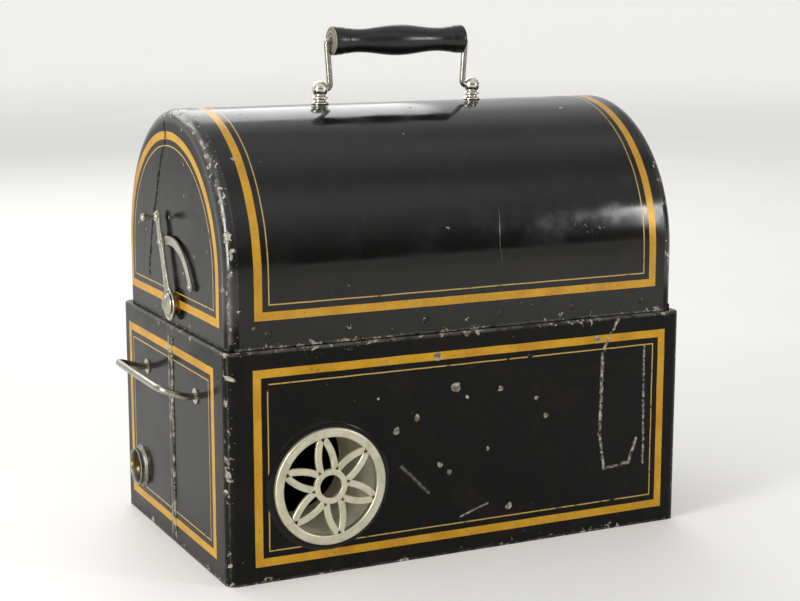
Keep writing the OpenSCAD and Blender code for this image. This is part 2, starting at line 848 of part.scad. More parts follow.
pillar_x = sleeve_x + 4;
module lens_pillar() {
    color("#87857c")
    difference() {
        union() {
            translate([pillar_x, -12, board_top]) cube([8, 24, optic_rise - 8]);
            translate([pillar_x - 8, -20, board_top]) cube([24, 40, 3]);
        }
        along_x(pillar_x - 1, 0, optic_z) cylinder(d = sleeve_outer + 2 * plate_gap, h = 10);
        translate([pillar_x - 1, -rack_slot / 2, rack_root - 3]) cube([10, rack_slot, 30]);
    }
}

// ---- cover ----
module arch_solid(r, x0, len) {
    translate([x0, 0, spring_z]) rotate([0, 90, 0]) cylinder(r = r, h = len);
    translate([x0, -r, cover_foot]) cube([len, 2 * r, spring_z - cover_foot]);
}

module cover_barrel() {
    barrel_half = cover_half - end_roll;
    color("#1d1e1b")
    difference() {
        intersection() {
            arch_solid(arch_radius, -barrel_half, 2 * barrel_half);
            translate([-base_length, -base_width, cover_foot])
                cube([2 * base_length, 2 * base_width, crown_height]);
        }
        translate([0, 0, -eps]) arch_solid(arch_radius - sheet, -barrel_half - 1, 2 * barrel_half + 2);
        translate([-barrel_half - 1, -arch_radius + sheet, cover_foot - 1])
            cube([2 * barrel_half + 2, 2 * (arch_radius - sheet), spring_z - cover_foot]);
        for (s = [-1, 1]) {
            translate([s * post_spacing / 2, 0, spring_z])
                cylinder(d = post_shank + 2 * plate_gap, h = arch_radius + 1);
            for (x = rivet_places(), y = [-1, 1])
                along_y(x, y * arch_radius - 3, rivet_z)
                    cylinder(d = rivet_shank + 2 * plate_gap, h = 6, $fn = 24);
        }
    }
}

// profile of a rolled end pan: radius across, depth up
module pan_profile(r, roll) {
    intersection() {
        square([r, roll]);
        union() {
            square([r - roll, roll]);
            translate([r - roll, 0]) circle(r = roll);
        }
    }
}

module end_pan() {
    difference() {
        pan_half(arch_radius, end_roll);
        pan_half(arch_radius - sheet, end_roll - sheet);
    }
}

// half-round arch with straight sides below it, lying along +X from x = 0
module pan_half(r, roll) {
    translate([0, 0, spring_z]) rotate([0, 90, 0]) rotate([0, 0, 90])
        rotate_extrude(angle = 180) pan_profile(r, roll);
    for (s = [0, 1]) mirror([0, s, 0])
        translate([0, 0, cover_foot - (r < arch_radius ? 1 : 0)])
            linear_extrude(spring_z - cover_foot + (r < arch_radius ? 1 : 0))
                rotate([0, 0, 90]) mirror([0, 1, 0]) pan_profile(r, roll);
}

module cover_end() {
    translate([cover_half - end_roll, 0, 0]) difference() {
        end_pan();
        along_x(-1, 0, pivot_z) cylinder(d = bush_body + 2 * plate_gap, h = end_roll + 2);
        for (a = [quad_low_angle, quad_top_angle])
            along_x(-1, quadrant_radius * cos(a), pivot_z + quadrant_radius * sin(a))
                cylinder(d = stud_shank + 2 * plate_gap, h = end_roll + 2, $fn = 24);
    }
}

module cover_end_left() {
    color("#1d1e1b") mirror([1, 0, 0]) cover_end();
}

module cover_end_right() {
    color("#1d1e1b") cover_end();
}

rivet_shank = 2.4;
strip_z = base_height + rim_height + 1;
rivet_z = strip_z + strip_height / 2;
strip_half = cover_half - end_roll - 8;
function rivet_places() = [for (i = [0 : rivets_per_side - 1])
    -strip_half + 12 + i * (2 * strip_half - 24) / (rivets_per_side - 1)];

module cover_strips() {
    color("#55544e")
    for (s = [-1, 1])
        difference() {
            translate([-strip_half, s * (arch_radius - sheet - 0.6) - 0.6, strip_z])
                cube([2 * strip_half, 1.2, strip_height]);
            for (x = rivet_places())
                along_y(x, s * arch_radius - 4, rivet_z)
                    cylinder(d = rivet_shank + 2 * plate_gap, h = 8, $fn = 24);
        }
}

module cover_rivets() {
    color("#2b2a26")
    for (s = [0, 1]) mirror([0, s, 0])
        for (x = rivet_places())
            along_y(x, -arch_radius, rivet_z) {
                mirror([0, 0, 1]) dome_head(rivet_diameter, 1.3);
                translate([0, 0, -eps]) cylinder(d = rivet_shank, h = sheet + 1.2 + 2 * eps, $fn = 24);
                translate([0, 0, sheet + 1.2]) cylinder(d = rivet_shank + 1.4, h = 0.7, $fn = 24);
            }
}

// ---- latches; modelled on the +X end, x measured outwards from the cover's end ----
bush_body = shaft_diameter + 3;
stud_shank = 2.6;

module at_pivot(depth) {
    along_x(cover_half + depth, 0, pivot_z) children();
}

// polar place on the end face: angle from +Y towards +Z
module at_polar(depth, r, a) {
    along_x(cover_half + depth, r * cos(a), pivot_z + r * sin(a)) children();
}

// ring sector on the end face between two angles
module sector(depth, r, w, h, a0, a1) {
    at_pivot(depth) rotate([0, 0, 90 + a0]) rotate_extrude(angle = a1 - a0)
        translate([r - w / 2, 0]) square([w, h]);
}

module quadrant() {
    difference() {
        union() {
            sector(spacer, quadrant_radius, quadrant_width, quad_sheet, quad_top_angle, quad_low_angle);
            for (a = [quad_low_angle, quad_top_angle])
                at_polar(spacer, quadrant_radius, a) cylinder(d = quad_end, h = quad_sheet);
        }
        for (a = [quad_low_angle, quad_top_angle])
            at_polar(spacer - 1, quadrant_radius, a)
                cylinder(d = stud_shank + 2 * plate_gap, h = quad_sheet + 2, $fn = 24);
    }
}

module latch_quadrants() {
    color("#b8b4a4") mirrored_pair() quadrant();
}

module quadrant_studs() {
    color("#c4c0b0")
    mirrored_pair()
        for (a = [quad_low_angle, quad_top_angle]) {
            at_polar(0, quadrant_radius, a) cylinder(d = stud_head, h = spacer, $fn = 32);
            at_polar(-sheet - 1, quadrant_radius, a)
                cylinder(d = stud_shank, h = sheet + spacer + 1 + quad_sheet, $fn = 24);
            if (a == quad_low_angle)
                at_polar(spacer + quad_sheet, quadrant_radius, a) dome_head(stud_head, 2);
        }
}

module latch_bushes() {
    color("#a38f5c")
    mirrored_pair() difference() {
        union() {
            at_pivot(0) cylinder(d = bush_body + 6, h = lever_lift - rest_gap);
            at_pivot(-sheet - 1.3) cylinder(d = bush_body, h = sheet + 1.3 + eps);
        }
        at_pivot(-5) cylinder(d = shaft_diameter + 2 * run_gap, h = 20);
    }
}

module lever() {
    difference() {
        union() {
            at_pivot(lever_lift) cylinder(d = eye_diameter, h = lever_sheet);
            at_pivot(lever_lift) rotate([0, 0, 90 + lever_angle])
                translate([0, -arm_width / 2, 0]) cube([lever_length, arm_width, lever_sheet]);
            at_polar(lever_lift, lever_length, lever_angle)
                cylinder(d = arm_width + 1, h = lever_sheet);
            // the guide pin runs along the outer edge of the quadrant
            at_polar(spacer, guide_radius, lever_angle)
                cylinder(d = guide_pin, h = lever_lift - spacer + eps, $fn = 32);
            at_polar(lever_lift + lever_sheet, quadrant_radius, lever_angle) dome_head(stud_head, 1.8);
        }
        at_pivot(0) cylinder(d = shaft_diameter + 2 * run_gap, h = 20);
        at_polar(0, lever_length, lever_angle) cylinder(d = 3 + 2 * plate_gap, h = 20, $fn = 32);
    }
}

module latch_knob() {
    at_polar(lever_lift - 0.6, lever_length, lever_angle) {
        cylinder(d = 3, h = 4, $fn = 32);
        translate([0, 0, lever_sheet + 0.6]) cylinder(d = 6.4, h = 1.6);
        translate([0, 0, lever_sheet + 2]) cylinder(d = 3.4, h = 8);
        translate([0, 0, lever_sheet + 9.5]) sphere(d = 5.6);
    }
}

module latch_shaft() {
    at_pivot(lever_lift + lever_sheet) dome_head(15.5, 4);
    at_pivot(-hook_depth - 3)
        cylinder(d = shaft_diameter, h = hook_depth + 3 + lever_lift + lever_sheet + eps);
}

hook_angle = 180;                        // the released hook lies level, towards the front
module latch_hook() {
    difference() {
        union() {
            at_pivot(-hook_depth) cylinder(d = shaft_diameter + 6, h = hook_sheet);
            at_pivot(-hook_depth) rotate([0, 0, 90 + hook_angle])
                translate([0, -2.5, 0]) cube([hook_reach + 1.75, 5, hook_sheet]);
            at_pivot(-hook_depth) rotate([0, 0, 90 + hook_angle])
                translate([hook_reach - 1.75, 0, 0]) cube([3.5, hook_toe, hook_sheet]);
            at_pivot(-hook_depth - 2.5) cylinder(d = shaft_diameter + 3, h = 2.5 + eps, $fn = 6);
        }
        at_pivot(-hook_depth - 5) cylinder(d = shaft_diameter + 2 * run_gap, h = 20);
    }
}

module latch_lever_left() { color("#aaa698") mirror([1, 0, 0]) lever(); }
module latch_lever_right() { color("#aaa698") lever(); }
module latch_knob_left() { color("#cfcbbb") mirror([1, 0, 0]) latch_knob(); }
module latch_knob_right() { color("#cfcbbb") latch_knob(); }
module latch_shaft_left() { color("#96938a") mirror([1, 0, 0]) latch_shaft(); }
module latch_shaft_right() { color("#96938a") latch_shaft(); }
module latch_hook_left() { color("#85837b") mirror([1, 0, 0]) latch_hook(); }
module latch_hook_right() { color("#85837b") latch_hook(); }

// ---- carrying handle ----
post_shank = 5;
ball_gap = 0.1;                          // radial gap of the wire in the balls
ball_z = crown_height + ball_height;
module handle_posts() {
    color("#d0cbb8")
    for (s = [0, 1]) mirror([s, 0, 0])
        translate([post_spacing / 2, 0, crown_height])
            difference() {
                union() {
                    cylinder(d = 12.6, h = 1.6);
                    translate([0, 0, 1.6 - eps]) cylinder(d = 8.6, h = 3);
                    translate([0, 0, 4]) cylinder(d = 12, h = 1.4);
                    translate([0, 0, 5.4 - eps]) cylinder(d = 7.6, h = 2);
                    translate([0, 0, ball_height]) sphere(d = ball_diameter);
                    translate([0, 0, -7]) cylinder(d = post_shank, h = 7 + eps);
                }
                along_x(-ball_diameter, 0, ball_height)
                    cylinder(d = wire_diameter + 2 * ball_gap, h = ball_diameter + 3);
            }
}

module post_nuts() {
    color("#8d8b83")
    for (s = [-1, 1])
        translate([s * post_spacing / 2, 0, crown_height - sheet - 0.5 - 4])
            difference() {
                union() {
                    cylinder(d = 10, h = 3, $fn = 6);
                    translate([0, 0, 3 - eps]) cylinder(d = 11, h = 1);
                }
                translate([0, 0, -1]) cylinder(d = post_shank + 2 * run_gap, h = 8);
            }
}

leg_end_x = post_spacing / 2 + 2;
leg_foot_x = post_spacing / 2 - 7.9;
leg_top_x = grip_length / 2 + 1.5;
grip_z = ball_z + grip_rise;
module handle_wire() {
    color("#8d8676")
    for (s = [-1, 1]) {
        rod_between([s * leg_end_x, 0, ball_z], [s * leg_foot_x, 0, ball_z], wire_diameter);
        translate([s * leg_foot_x, 0, ball_z]) sphere(d = wire_diameter + knee_swell);
        rod_between([s * leg_foot_x, 0, ball_z], [s * leg_top_x, 0, grip_z], wire_diameter);
        translate([s * leg_top_x, 0, grip_z]) sphere(d = wire_diameter + knee_swell);
        rod_between([s * leg_top_x, 0, grip_z], [0, 0, grip_z], wire_diameter);
    }
}

grip_points = 24;
grip_half = grip_length / 2 - 1.5;
neck_place = 0.62;                       // neck position as a share of the half length
function grip_radius(t) = t < neck_place
    ? (grip_diameter + neck_diameter) / 4
      + (grip_diameter - neck_diameter) / 4 * cos(180 * t / neck_place)
    : (grip_end_diameter + neck_diameter) / 4
      - (grip_end_diameter - neck_diameter) / 4 * cos(180 * (t - neck_place) / (1 - neck_place));
module handle_grip() {
    color("#171715")
    along_x(0, 0, grip_z)
        difference() {
            rotate_extrude()
                polygon(concat([[0, -grip_half]],
                    [for (i = [-grip_points : grip_points])
                        [grip_radius(abs(i) / grip_points) - (abs(i) == grip_points ? 0.8 : 0),
                         i * grip_half / grip_points]],
                    [[0, grip_half]]));
            translate([0, 0, -grip_half - 1])
                cylinder(d = wire_diameter + 2 * run_gap, h = 2 * grip_half + 2);
        }
}

base_shell();
base_bottom();
seam_strip();
bed_board();
board_cleats();
board_screws();
vent_bezel();
vent_duct();
vent_rosette();
inlet_shroud();
inlet_block();
inlet_pins();
rod_ferrules();
rod_guide();
draw_rod();
rod_stops();
latch_keepers();
transformer_core();
transformer_coil();
transformer_straps();
lamp_house();
house_cowl();
lamp_track();
lamp_carriage();
lamp_socket();
lamp_bulb();
reflector();
condenser_barrel();
condenser_lenses();
condenser_ring();
stage_frame();
slide_carrier();
picture_glass();
lens_pillar();
focus_sleeve();
objective_barrel();
objective_lenses();
focus_rack();
focus_pinion();
focus_knob();
cover_barrel();
cover_end_left();
cover_end_right();
cover_strips();
cover_rivets();
latch_quadrants();
quadrant_studs();
latch_bushes();
latch_lever_left();
latch_knob_left();
latch_shaft_left();
latch_hook_left();
latch_lever_right();
latch_knob_right();
latch_shaft_right();
latch_hook_right();
handle_posts();
post_nuts();
handle_wire();
handle_grip();
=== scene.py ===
from math import acos, atan2, cos, pi, radians, sin, tan

import bmesh
import bpy
from mathutils import Matrix, Vector


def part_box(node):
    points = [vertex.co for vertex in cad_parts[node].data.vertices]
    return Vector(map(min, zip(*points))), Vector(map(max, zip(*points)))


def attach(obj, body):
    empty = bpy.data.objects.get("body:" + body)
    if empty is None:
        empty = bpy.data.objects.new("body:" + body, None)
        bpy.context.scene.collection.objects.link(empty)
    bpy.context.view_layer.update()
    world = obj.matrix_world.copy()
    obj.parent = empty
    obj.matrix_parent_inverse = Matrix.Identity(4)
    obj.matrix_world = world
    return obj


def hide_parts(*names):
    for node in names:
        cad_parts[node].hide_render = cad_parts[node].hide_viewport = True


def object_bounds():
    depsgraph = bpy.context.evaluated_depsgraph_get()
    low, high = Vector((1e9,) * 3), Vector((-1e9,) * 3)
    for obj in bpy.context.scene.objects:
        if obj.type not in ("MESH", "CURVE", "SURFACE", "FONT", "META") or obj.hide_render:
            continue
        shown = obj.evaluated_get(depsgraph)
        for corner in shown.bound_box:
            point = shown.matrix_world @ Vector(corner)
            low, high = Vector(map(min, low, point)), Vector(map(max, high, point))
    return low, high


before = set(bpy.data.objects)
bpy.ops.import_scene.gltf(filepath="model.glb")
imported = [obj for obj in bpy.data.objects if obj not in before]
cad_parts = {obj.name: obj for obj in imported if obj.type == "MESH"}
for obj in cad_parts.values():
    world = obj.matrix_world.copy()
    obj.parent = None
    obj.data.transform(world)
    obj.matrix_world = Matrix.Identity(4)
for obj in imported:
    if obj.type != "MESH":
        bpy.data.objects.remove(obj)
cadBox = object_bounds()
mm = 0.001
steps = 96                               # segments of a full turn on the turned pieces
print("frame loaded:", len(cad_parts), "nodes")


# ---- node trees ----
class Wiring:
    # one material's node tree; place is the point on the piece in millimetres
    def __init__(self, name):
        self.material = bpy.data.materials.new(name)
        self.material.use_nodes = True
        self.tree = self.material.node_tree
        self.shader = self.tree.nodes["Principled BSDF"]
        coords = self.add("ShaderNodeTexCoord")
        self.place = self.vector("SCALE", coords.outputs["Object"], scale=1000)
        self.x, self.y, self.z = self.split(self.place)

    def add(self, kind, **settings):
        node = self.tree.nodes.new(kind)
        for key, value in settings.items():
            setattr(node, key, value)
        return node

    def plug(self, socket, value):
        if isinstance(value, bpy.types.NodeSocket):
            self.tree.links.new(value, socket)
        else:
            socket.default_value = value

    def calc(self, operation, a, b=0.0, c=0.0):
        node = self.add("ShaderNodeMath", operation=operation)
        for socket, value in zip(node.inputs, (a, b, c)):
            self.plug(socket, value)
        return node.outputs[0]

    def vector(self, operation, a, b=(0, 0, 0), scale=None):
        node = self.add("ShaderNodeVectorMath", operation=operation)
        self.plug(node.inputs[0], a)
        self.plug(node.inputs[1], b)
        if scale is not None:
            self.plug(node.inputs["Scale"], scale)
        return node.outputs[1 if operation in ("LENGTH", "DOT_PRODUCT") else 0]

    def split(self, vector):
        node = self.add("ShaderNodeSeparateXYZ")
        self.plug(node.inputs[0], vector)
        return node.outputs

    def join(self, x, y, z):
        node = self.add("ShaderNodeCombineXYZ")
        for socket, value in zip(node.inputs, (x, y, z)):
            self.plug(socket, value)
        return node.outputs[0]

    # noise whose lumps are about size millimetres across, spread over 0 to 1
    def noise(self, size, detail=3.0, rough=0.5, at=None, warp=0.0):
        node = self.add("ShaderNodeTexNoise")
        self.plug(node.inputs["Vector"], at or self.place)
        node.inputs["Scale"].default_value = 1 / size
        node.inputs["Detail"].default_value = detail
        node.inputs["Roughness"].default_value = rough
        node.inputs["Distortion"].default_value = warp
        return node.outputs[0]

    # distance to the nearest of a set of scattered points, and that point's random number
    def cells(self, size, at=None):
        node = self.add("ShaderNodeTexVoronoi")
        self.plug(node.inputs["Vector"], at or self.place)
        node.inputs["Scale"].default_value = 1 / size
        return node.outputs["Distance"], self.split(node.outputs["Color"])[0]

    # 0 below low, 1 above high, smooth between; low may be above high
    def fade(self, value, low, high):
        node = self.add("ShaderNodeMapRange", interpolation_type="SMOOTHSTEP")
        for name, number in zip(("Value", "From Min", "From Max"), (value, low, high)):
            self.plug(node.inputs[name], number)
        return node.outputs[0]

    def most(self, *values):
        return self.gather("MAXIMUM", values)

    def least(self, *values):
        return self.gather("MINIMUM", values)

    def gather(self, operation, values):
        result = values[0]
        for value in values[1:]:
            result = self.calc(operation, result, value)
        return result

    def times(self, *values):
        return self.gather("MULTIPLY", values)

    def plus(self, *values):
        return self.gather("ADD", values)

    def less(self, a, b):
        return self.calc("SUBTRACT", a, b)

    def size(self, value):
        return self.calc("ABSOLUTE", value)

    def blend(self, mask, below, above):
        node = self.add("ShaderNodeMix", data_type="RGBA")
        for socket, value in zip((node.inputs[0], node.inputs[6], node.inputs[7]), (mask, below, above)):
            self.plug(socket, value)
        return node.outputs[2]

    def mix(self, mask, below, above):
        node = self.add("ShaderNodeMix", data_type="FLOAT")
        for socket, value in zip((node.inputs[0], node.inputs[2], node.inputs[3]), (mask, below, above)):
            self.plug(socket, value)
        return node.outputs[0]

    # height in millimetres; strength of the finished bump
    def finish(self, colour, rough, metal=0.0, height=None, strength=1.0):
        self.plug(self.shader.inputs["Base Color"], colour)
        self.plug(self.shader.inputs["Roughness"], rough)
        self.plug(self.shader.inputs["Metallic"], metal)
        if height is not None:
            bump = self.add("ShaderNodeBump")
            bump.inputs["Strength"].default_value = strength
            bump.inputs["Distance"].default_value = mm
            self.plug(bump.inputs["Height"], height)
            self.plug(self.shader.inputs["Normal"], bump.outputs[0])
        return self.material

    # distance in the plane (u, w) to the line between two points
    def toLine(self, u, w, start, end):
        run = (end[0] - start[0], end[1] - start[1])
        square = run[0] ** 2 + run[1] ** 2
        du, dw = self.less(u, start[0]), self.less(w, start[1])
        share = self.plus(self.times(du, run[0] / square), self.times(dw, run[1] / square))
        share = self.least(self.most(share, 0.0), 1.0)
        offU = self.less(du, self.times(share, run[0]))
        offW = self.less(dw, self.times(share, run[1]))
        return self.calc("SQRT", self.plus(self.times(offU, offU), self.times(offW, offW)))

    def toPath(self, u, w, points):
        return self.least(*[self.toLine(u, w, a, b) for a, b in zip(points, points[1:])])


def colour(red, green, blue):
    # eight-bit display values to the linear colour that a socket takes
    levels = (red, green, blue)
    return tuple(v / 255 / 12.92 if v < 11 else ((v / 255 + 0.055) / 1.055) ** 2.4 for v in levels) + (1,)


# ---- black japan with gold lining, chips and scratches ----
japan = dict(
    black=colour(13, 13, 12), brown=colour(34, 28, 22), haze=colour(54, 52, 46),
    chipPale=colour(176, 170, 152), chipDark=colour(104, 98, 86), rust=colour(112, 78, 58),
    gold=colour(200, 151, 42), goldDeep=colour(184, 134, 36), goldPale=colour(208, 170, 88),
    goldThin=colour(186, 162, 98),
    rubbed=colour(104, 102, 94), bandWidth=5.6, lineInset=9.7, lineWidth=0.85,
)


def japanned(name, edge, lining=None, marks=None, cracks=None, wear=1.0, rough=0.13, sheen=0.2,
             blotch=0.42, ripple=1.0, polish=None):
    w = Wiring(name)
    k = japan
    wobble = w.times(w.less(w.noise(22, 2), 0.5), 0.5)
    cleanEdge = edge(w)
    # a rolled edge is polished by handling
    handled = w.times(w.fade(cleanEdge, 8.0, 4.0),
                      w.fade(w.z, cover["foot"] + 10, cover["foot"] + 30)) if polish else 0.0
    w.plug(w.shader.inputs["Specular IOR Level"], w.mix(handled, sheen, polish) if polish else sheen)
    # chips crowd along the edges and thin out over the flats
    nearEdge = w.calc("EXPONENT", w.times(cleanEdge, -1 / 3.2))
    nearby = w.calc("EXPONENT", w.times(cleanEdge, -1 / 14.0))
    patchy = w.noise(46, 2)
    crowd = w.times(nearEdge, w.fade(patchy, 0.30, 0.60), 0.30 * wear)
    flake = w.plus(w.noise(5.5, 5, 0.62, warp=0.6), crowd, w.times(nearby, 0.045 * wear))
    chips = w.fade(flake, 0.735, 0.755)
    slab = w.plus(w.noise(11, 5, 0.6, warp=0.4),
                  w.times(w.calc("EXPONENT", w.times(cleanEdge, -1 / 8.0)), 0.135 * wear))
    chips = w.most(chips, w.fade(slab, 0.735, 0.75))
    specks = w.fade(w.plus(w.noise(1.7, 3, 0.6), w.times(nearEdge, 0.13 * wear)), 0.735, 0.76)
    # lone chips: a few scattered spots, each its own size
    distance, lot = w.cells(17)
    ragged = w.plus(distance, w.times(w.less(w.noise(3, 3), 0.5), 0.16))
    spot = w.times(w.fade(ragged, 0.085, 0.06), w.fade(lot, 0.80, 0.82))
    bare = w.most(chips, specks, w.times(spot, min(wear, 1.0)))
    if marks:
        bare = w.most(bare, marks(w))
    crack = cracks(w) if cracks else 0.0
    # hair scratches: long thin streaks in two directions
    streakAt = w.vector("MULTIPLY", w.place, (0.03, 0.03, 0.9))
    slantAt = w.join(w.times(w.plus(w.x, w.z, w.y), 0.8), w.times(w.less(w.x, w.z), 0.02),
                     w.times(w.y, 0.02))
    hair = w.most(w.fade(w.noise(1, 2, at=streakAt), 0.745, 0.765),
                  w.fade(w.noise(1, 2, at=slantAt), 0.755, 0.775))
    hair = w.times(hair, w.fade(w.noise(30, 2), 0.52, 0.66), 0.45)
    goldMask, line = 0.0, 0.0
    if lining:
        inset = w.plus(lining(w), wobble)          # distance in from the outer edge of the lining
        band = w.times(w.fade(inset, -0.12, 0.12),
                       w.fade(inset, k["bandWidth"] + 0.12, k["bandWidth"] - 0.12))
        low, high = k["lineInset"], k["lineInset"] + k["lineWidth"]
        line = w.times(w.fade(inset, low - 0.12, low + 0.12), w.fade(inset, high + 0.12, high - 0.12))
        worn = w.fade(w.noise(2.2, 4, 0.7), 0.30, 0.36)
        goldMask = w.times(w.most(band, w.times(line, w.fade(w.noise(9, 3), 0.28, 0.40))), worn)
    haze = w.times(w.fade(w.noise(38, 4, 0.6, warp=1.5), 0.46, 0.74), blotch)
    paint = w.blend(haze, k["black"], k["brown"])
    paint = w.blend(w.times(w.fade(w.noise(9, 5, 0.7), 0.56, 0.8), 0.25), paint, k["haze"])
    goldTone = w.blend(w.fade(w.noise(26, 3), 0.35, 0.65), k["gold"], k["goldDeep"])
    goldTone = w.blend(w.times(w.fade(w.noise(4, 3), 0.5, 0.75), 0.3), goldTone, k["goldPale"])
    goldTone = w.blend(w.times(line, 0.7), goldTone, k["goldThin"])
    metal = w.blend(w.fade(w.noise(3.5, 4), 0.38, 0.62), k["chipPale"], k["chipDark"])
    metal = w.blend(w.times(w.fade(w.noise(13, 3), 0.55, 0.7), 0.5), metal, k["rust"])
    # the arrises are rubbed thin in one long soft line
    rubbed = w.times(w.fade(cleanEdge, 2.0, 0.3), w.fade(w.noise(7, 4, 0.65), 0.34, 0.6), 0.6)
    paint = w.blend(rubbed, paint, k["rubbed"])
    skin = w.blend(goldMask, paint, goldTone)
    skin = w.blend(w.times(hair, 0.5), skin, k["haze"])
    skin = w.blend(bare, skin, metal)
    skin = w.blend(crack, skin, colour(4, 4, 4))
    gloss = w.plus(rough, w.times(w.fade(w.noise(33, 4, 0.6), 0.4, 0.75), 0.12),
                   w.times(w.noise(0.9, 2), 0.05), w.times(nearby, 0.0 if polish else 0.14))
    gloss = w.mix(goldMask, gloss, 0.36)
    gloss = w.mix(bare, gloss, 0.62)
    gloss = w.mix(crack, gloss, 0.95)
    # paint stands on the sheet: chips dip, gold lies a little proud, the sheet ripples slowly
    height = w.plus(w.times(bare, -0.09), w.times(goldMask, 0.02), w.times(hair, -0.02),
                    w.times(crack, -0.3), w.times(w.noise(1.4, 2), 0.006),
                    w.times(w.noise(24, 2), 0.10 * ripple),
                    w.times(w.noise(70, 1), 0.55 * ripple))
    return w.finish(skin, gloss, w.times(goldMask, 0.25), height, 0.8)


# distance from the edges of a box given by its half sizes and its height
def boxEdge(halfX, halfY, top):
    def edge(w):
        a = w.size(w.less(halfX, w.size(w.x)))
        b = w.size(w.less(halfY, w.size(w.y)))
        c = w.least(w.size(w.z), w.size(w.less(top, w.z)))
        return w.most(w.least(a, b), w.least(w.most(a, b), c))
    return edge


# how far inside a rectangle on one face the point lies
def inRectangle(w, u, v, centre, half):
    return w.least(w.less(half[0], w.size(w.less(u, centre[0]))),
                   w.less(half[1], w.size(w.less(v, centre[1]))))


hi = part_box("base_shell")[1]
base = dict(halfX=hi.x / mm, halfY=hi.y / mm, rimHeight=4.5, sheet=1.2, corner=7.0, topBend=1.4, ledge=5.7,
            ductFlange=10 * mm, holeGap=0.1 * mm, cutterDepth=12 * mm, rodHole=3.8 * mm, rodInset=5.4 * mm)
base["top"] = hi.z / mm - base["rimHeight"]
base["front"] = dict(centre=(2.6, 77.5), half=(158.8, 66.3))   # the lining on the long faces
base["end"] = dict(centre=(4.3, 78.0), half=(90.8, 64.8))      # the lining on the short faces


def baseLining(w):
    onLong = w.fade(w.size(w.y), base["halfY"] - 0.5, base["halfY"] - 0.3)
    onShort = w.fade(w.size(w.x), base["halfX"] - 0.5, base["halfX"] - 0.3)
    long = inRectangle(w, w.x, w.z, **base["front"])
    short = inRectangle(w, w.y, w.z, **base["end"])
    inside = w.mix(onLong, w.mix(onShort, -9.0, short), long)
    return inside


slo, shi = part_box("seam_strip")
seamPlace = (slo.y + shi.y) / 2 / mm

# the long U-shaped scrape at the right of the front, two small scrapes, and knocks round the rod
scrapes = dict(
    cup=[(121.8, 154), (114, 142.6), (109, 130), (108.5, 95), (107.7, 72), (112.2, 45.5), (132.6, 47.9),
         (139, 65)],
    stroke=[(143.9, 132), (145.2, 46.3)], dash=[(-4.2, 25.7), (17.1, 32.6)], smear=[(-50, 67), (-29, 46)],
)
# knocks on the front: across, height, radius
spots = [(-8.6, 118, 4.2), (-38.2, 99.8, 2.6), (-53.5, 92.2, 2.9), (-66.8, 116, 1.3), (-20.6, 64.7, 2.3),
         (-13.5, 58.6, 2.2), (63, 90.5, 2.0), (55, 103.8, 1.8), (26.4, 113.6, 2.3), (16.6, 71.9, 1.3),
         (33.9, 28.2, 2.9), (0.4, 110.3, 1.6), (-22.7, 140.6, 3.2), (104.4, 141, 3.0)]


def baseMarks(w):
    front = w.fade(w.y, -base["halfY"] + 2.0, -base["halfY"] + 1.0)
    # the front left corner is knocked bare in patches
    fromCorner = w.plus(w.x, base["halfX"])
    patch = w.plus(w.noise(8.5, 4, 0.6, warp=0.5), w.times(w.fade(fromCorner, 11, 0), 0.13))
    corner = w.times(w.fade(patch, 0.70, 0.715), w.fade(fromCorner, 12, 8),
                     w.fade(w.plus(w.y, base["halfY"]), 6, 3))
    # two rubbed streaks run down beside the seam on the left end
    left = w.fade(w.x, -base["halfX"] + 2.0, -base["halfX"] + 1.0)
    sway = w.plus(w.y, w.times(w.less(w.noise(9, 4, 0.7), 0.5), 2.2))
    streaks = w.most(w.fade(w.size(w.less(sway, seamPlace - 4.2)), 1.3, 0.5),
                     w.fade(w.size(w.less(sway, seamPlace + 5.0)), 0.9, 0.3))
    drawnOut = w.vector("MULTIPLY", w.place, (1, 1, 0.25))
    streaks = w.times(left, streaks, w.fade(w.noise(2.2, 4, 0.75, at=drawnOut), 0.44, 0.56), 0.6)
    crumble = w.fade(w.noise(2.4, 4, 0.7), 0.40, 0.50)
    rag = w.times(w.less(w.noise(2.6, 4, 0.7), 0.5), 4.5)
    cup = w.plus(w.toPath(w.x, w.z, scrapes["cup"]), rag)
    stroke = w.plus(w.toPath(w.x, w.z, scrapes["stroke"]), rag)
    dash = w.plus(w.toPath(w.x, w.z, scrapes["dash"]), w.times(rag, 0.3))
    lines = w.most(w.times(w.fade(cup, 1.25, 0.85), crumble), w.times(w.fade(stroke, 0.95, 0.6), crumble),
                   w.times(w.fade(dash, 0.75, 0.45), 0.8))
    smear = w.times(w.fade(w.plus(w.toPath(w.x, w.z, scrapes["smear"]), w.times(rag, 0.8)), 1.6, 0.2), 0.3)
    knocks = []
    for u, v, radius in spots:
        away = w.calc("SQRT",
                      w.plus(w.calc("POWER", w.less(w.x, u), 2.0), w.calc("POWER", w.less(w.z, v), 2.0)))
        knocks.append(w.fade(w.plus(away, rag), 0.8 * radius + 0.12, 0.8 * radius - 0.12))
    return w.most(w.times(front, w.most(lines, smear, *knocks)), corner, streaks)


print("materials: black japan")
japanBase = japanned("blackJapanBase", boxEdge(base["halfX"] - 1, base["halfY"] - 1, base["top"] - 0.5),
                     baseLining, baseMarks, wear=0.72, sheen=0.12)

clo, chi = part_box("cover_barrel")
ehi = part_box("cover_end_right")[1]
cover = dict(radius=chi.y / mm, foot=clo.z / mm, crown=chi.z / mm, barrelHalf=chi.x / mm, half=ehi.x / mm,
             sheet=1.2)
cover["spring"] = cover["crown"] - cover["radius"]
cover["roll"] = cover["half"] - cover["barrelHalf"]
cover["barrelLining"] = dict(centre=1.5, half=154.1, bottom=174.7)
cover["endLining"] = dict(centre=5.0, half=93.5, rise=88.4, bottom=169.3)


def barrelEdge(w):
    return w.least(w.size(w.less(cover["half"], w.size(w.x))), w.size(w.less(w.z, cover["foot"])))


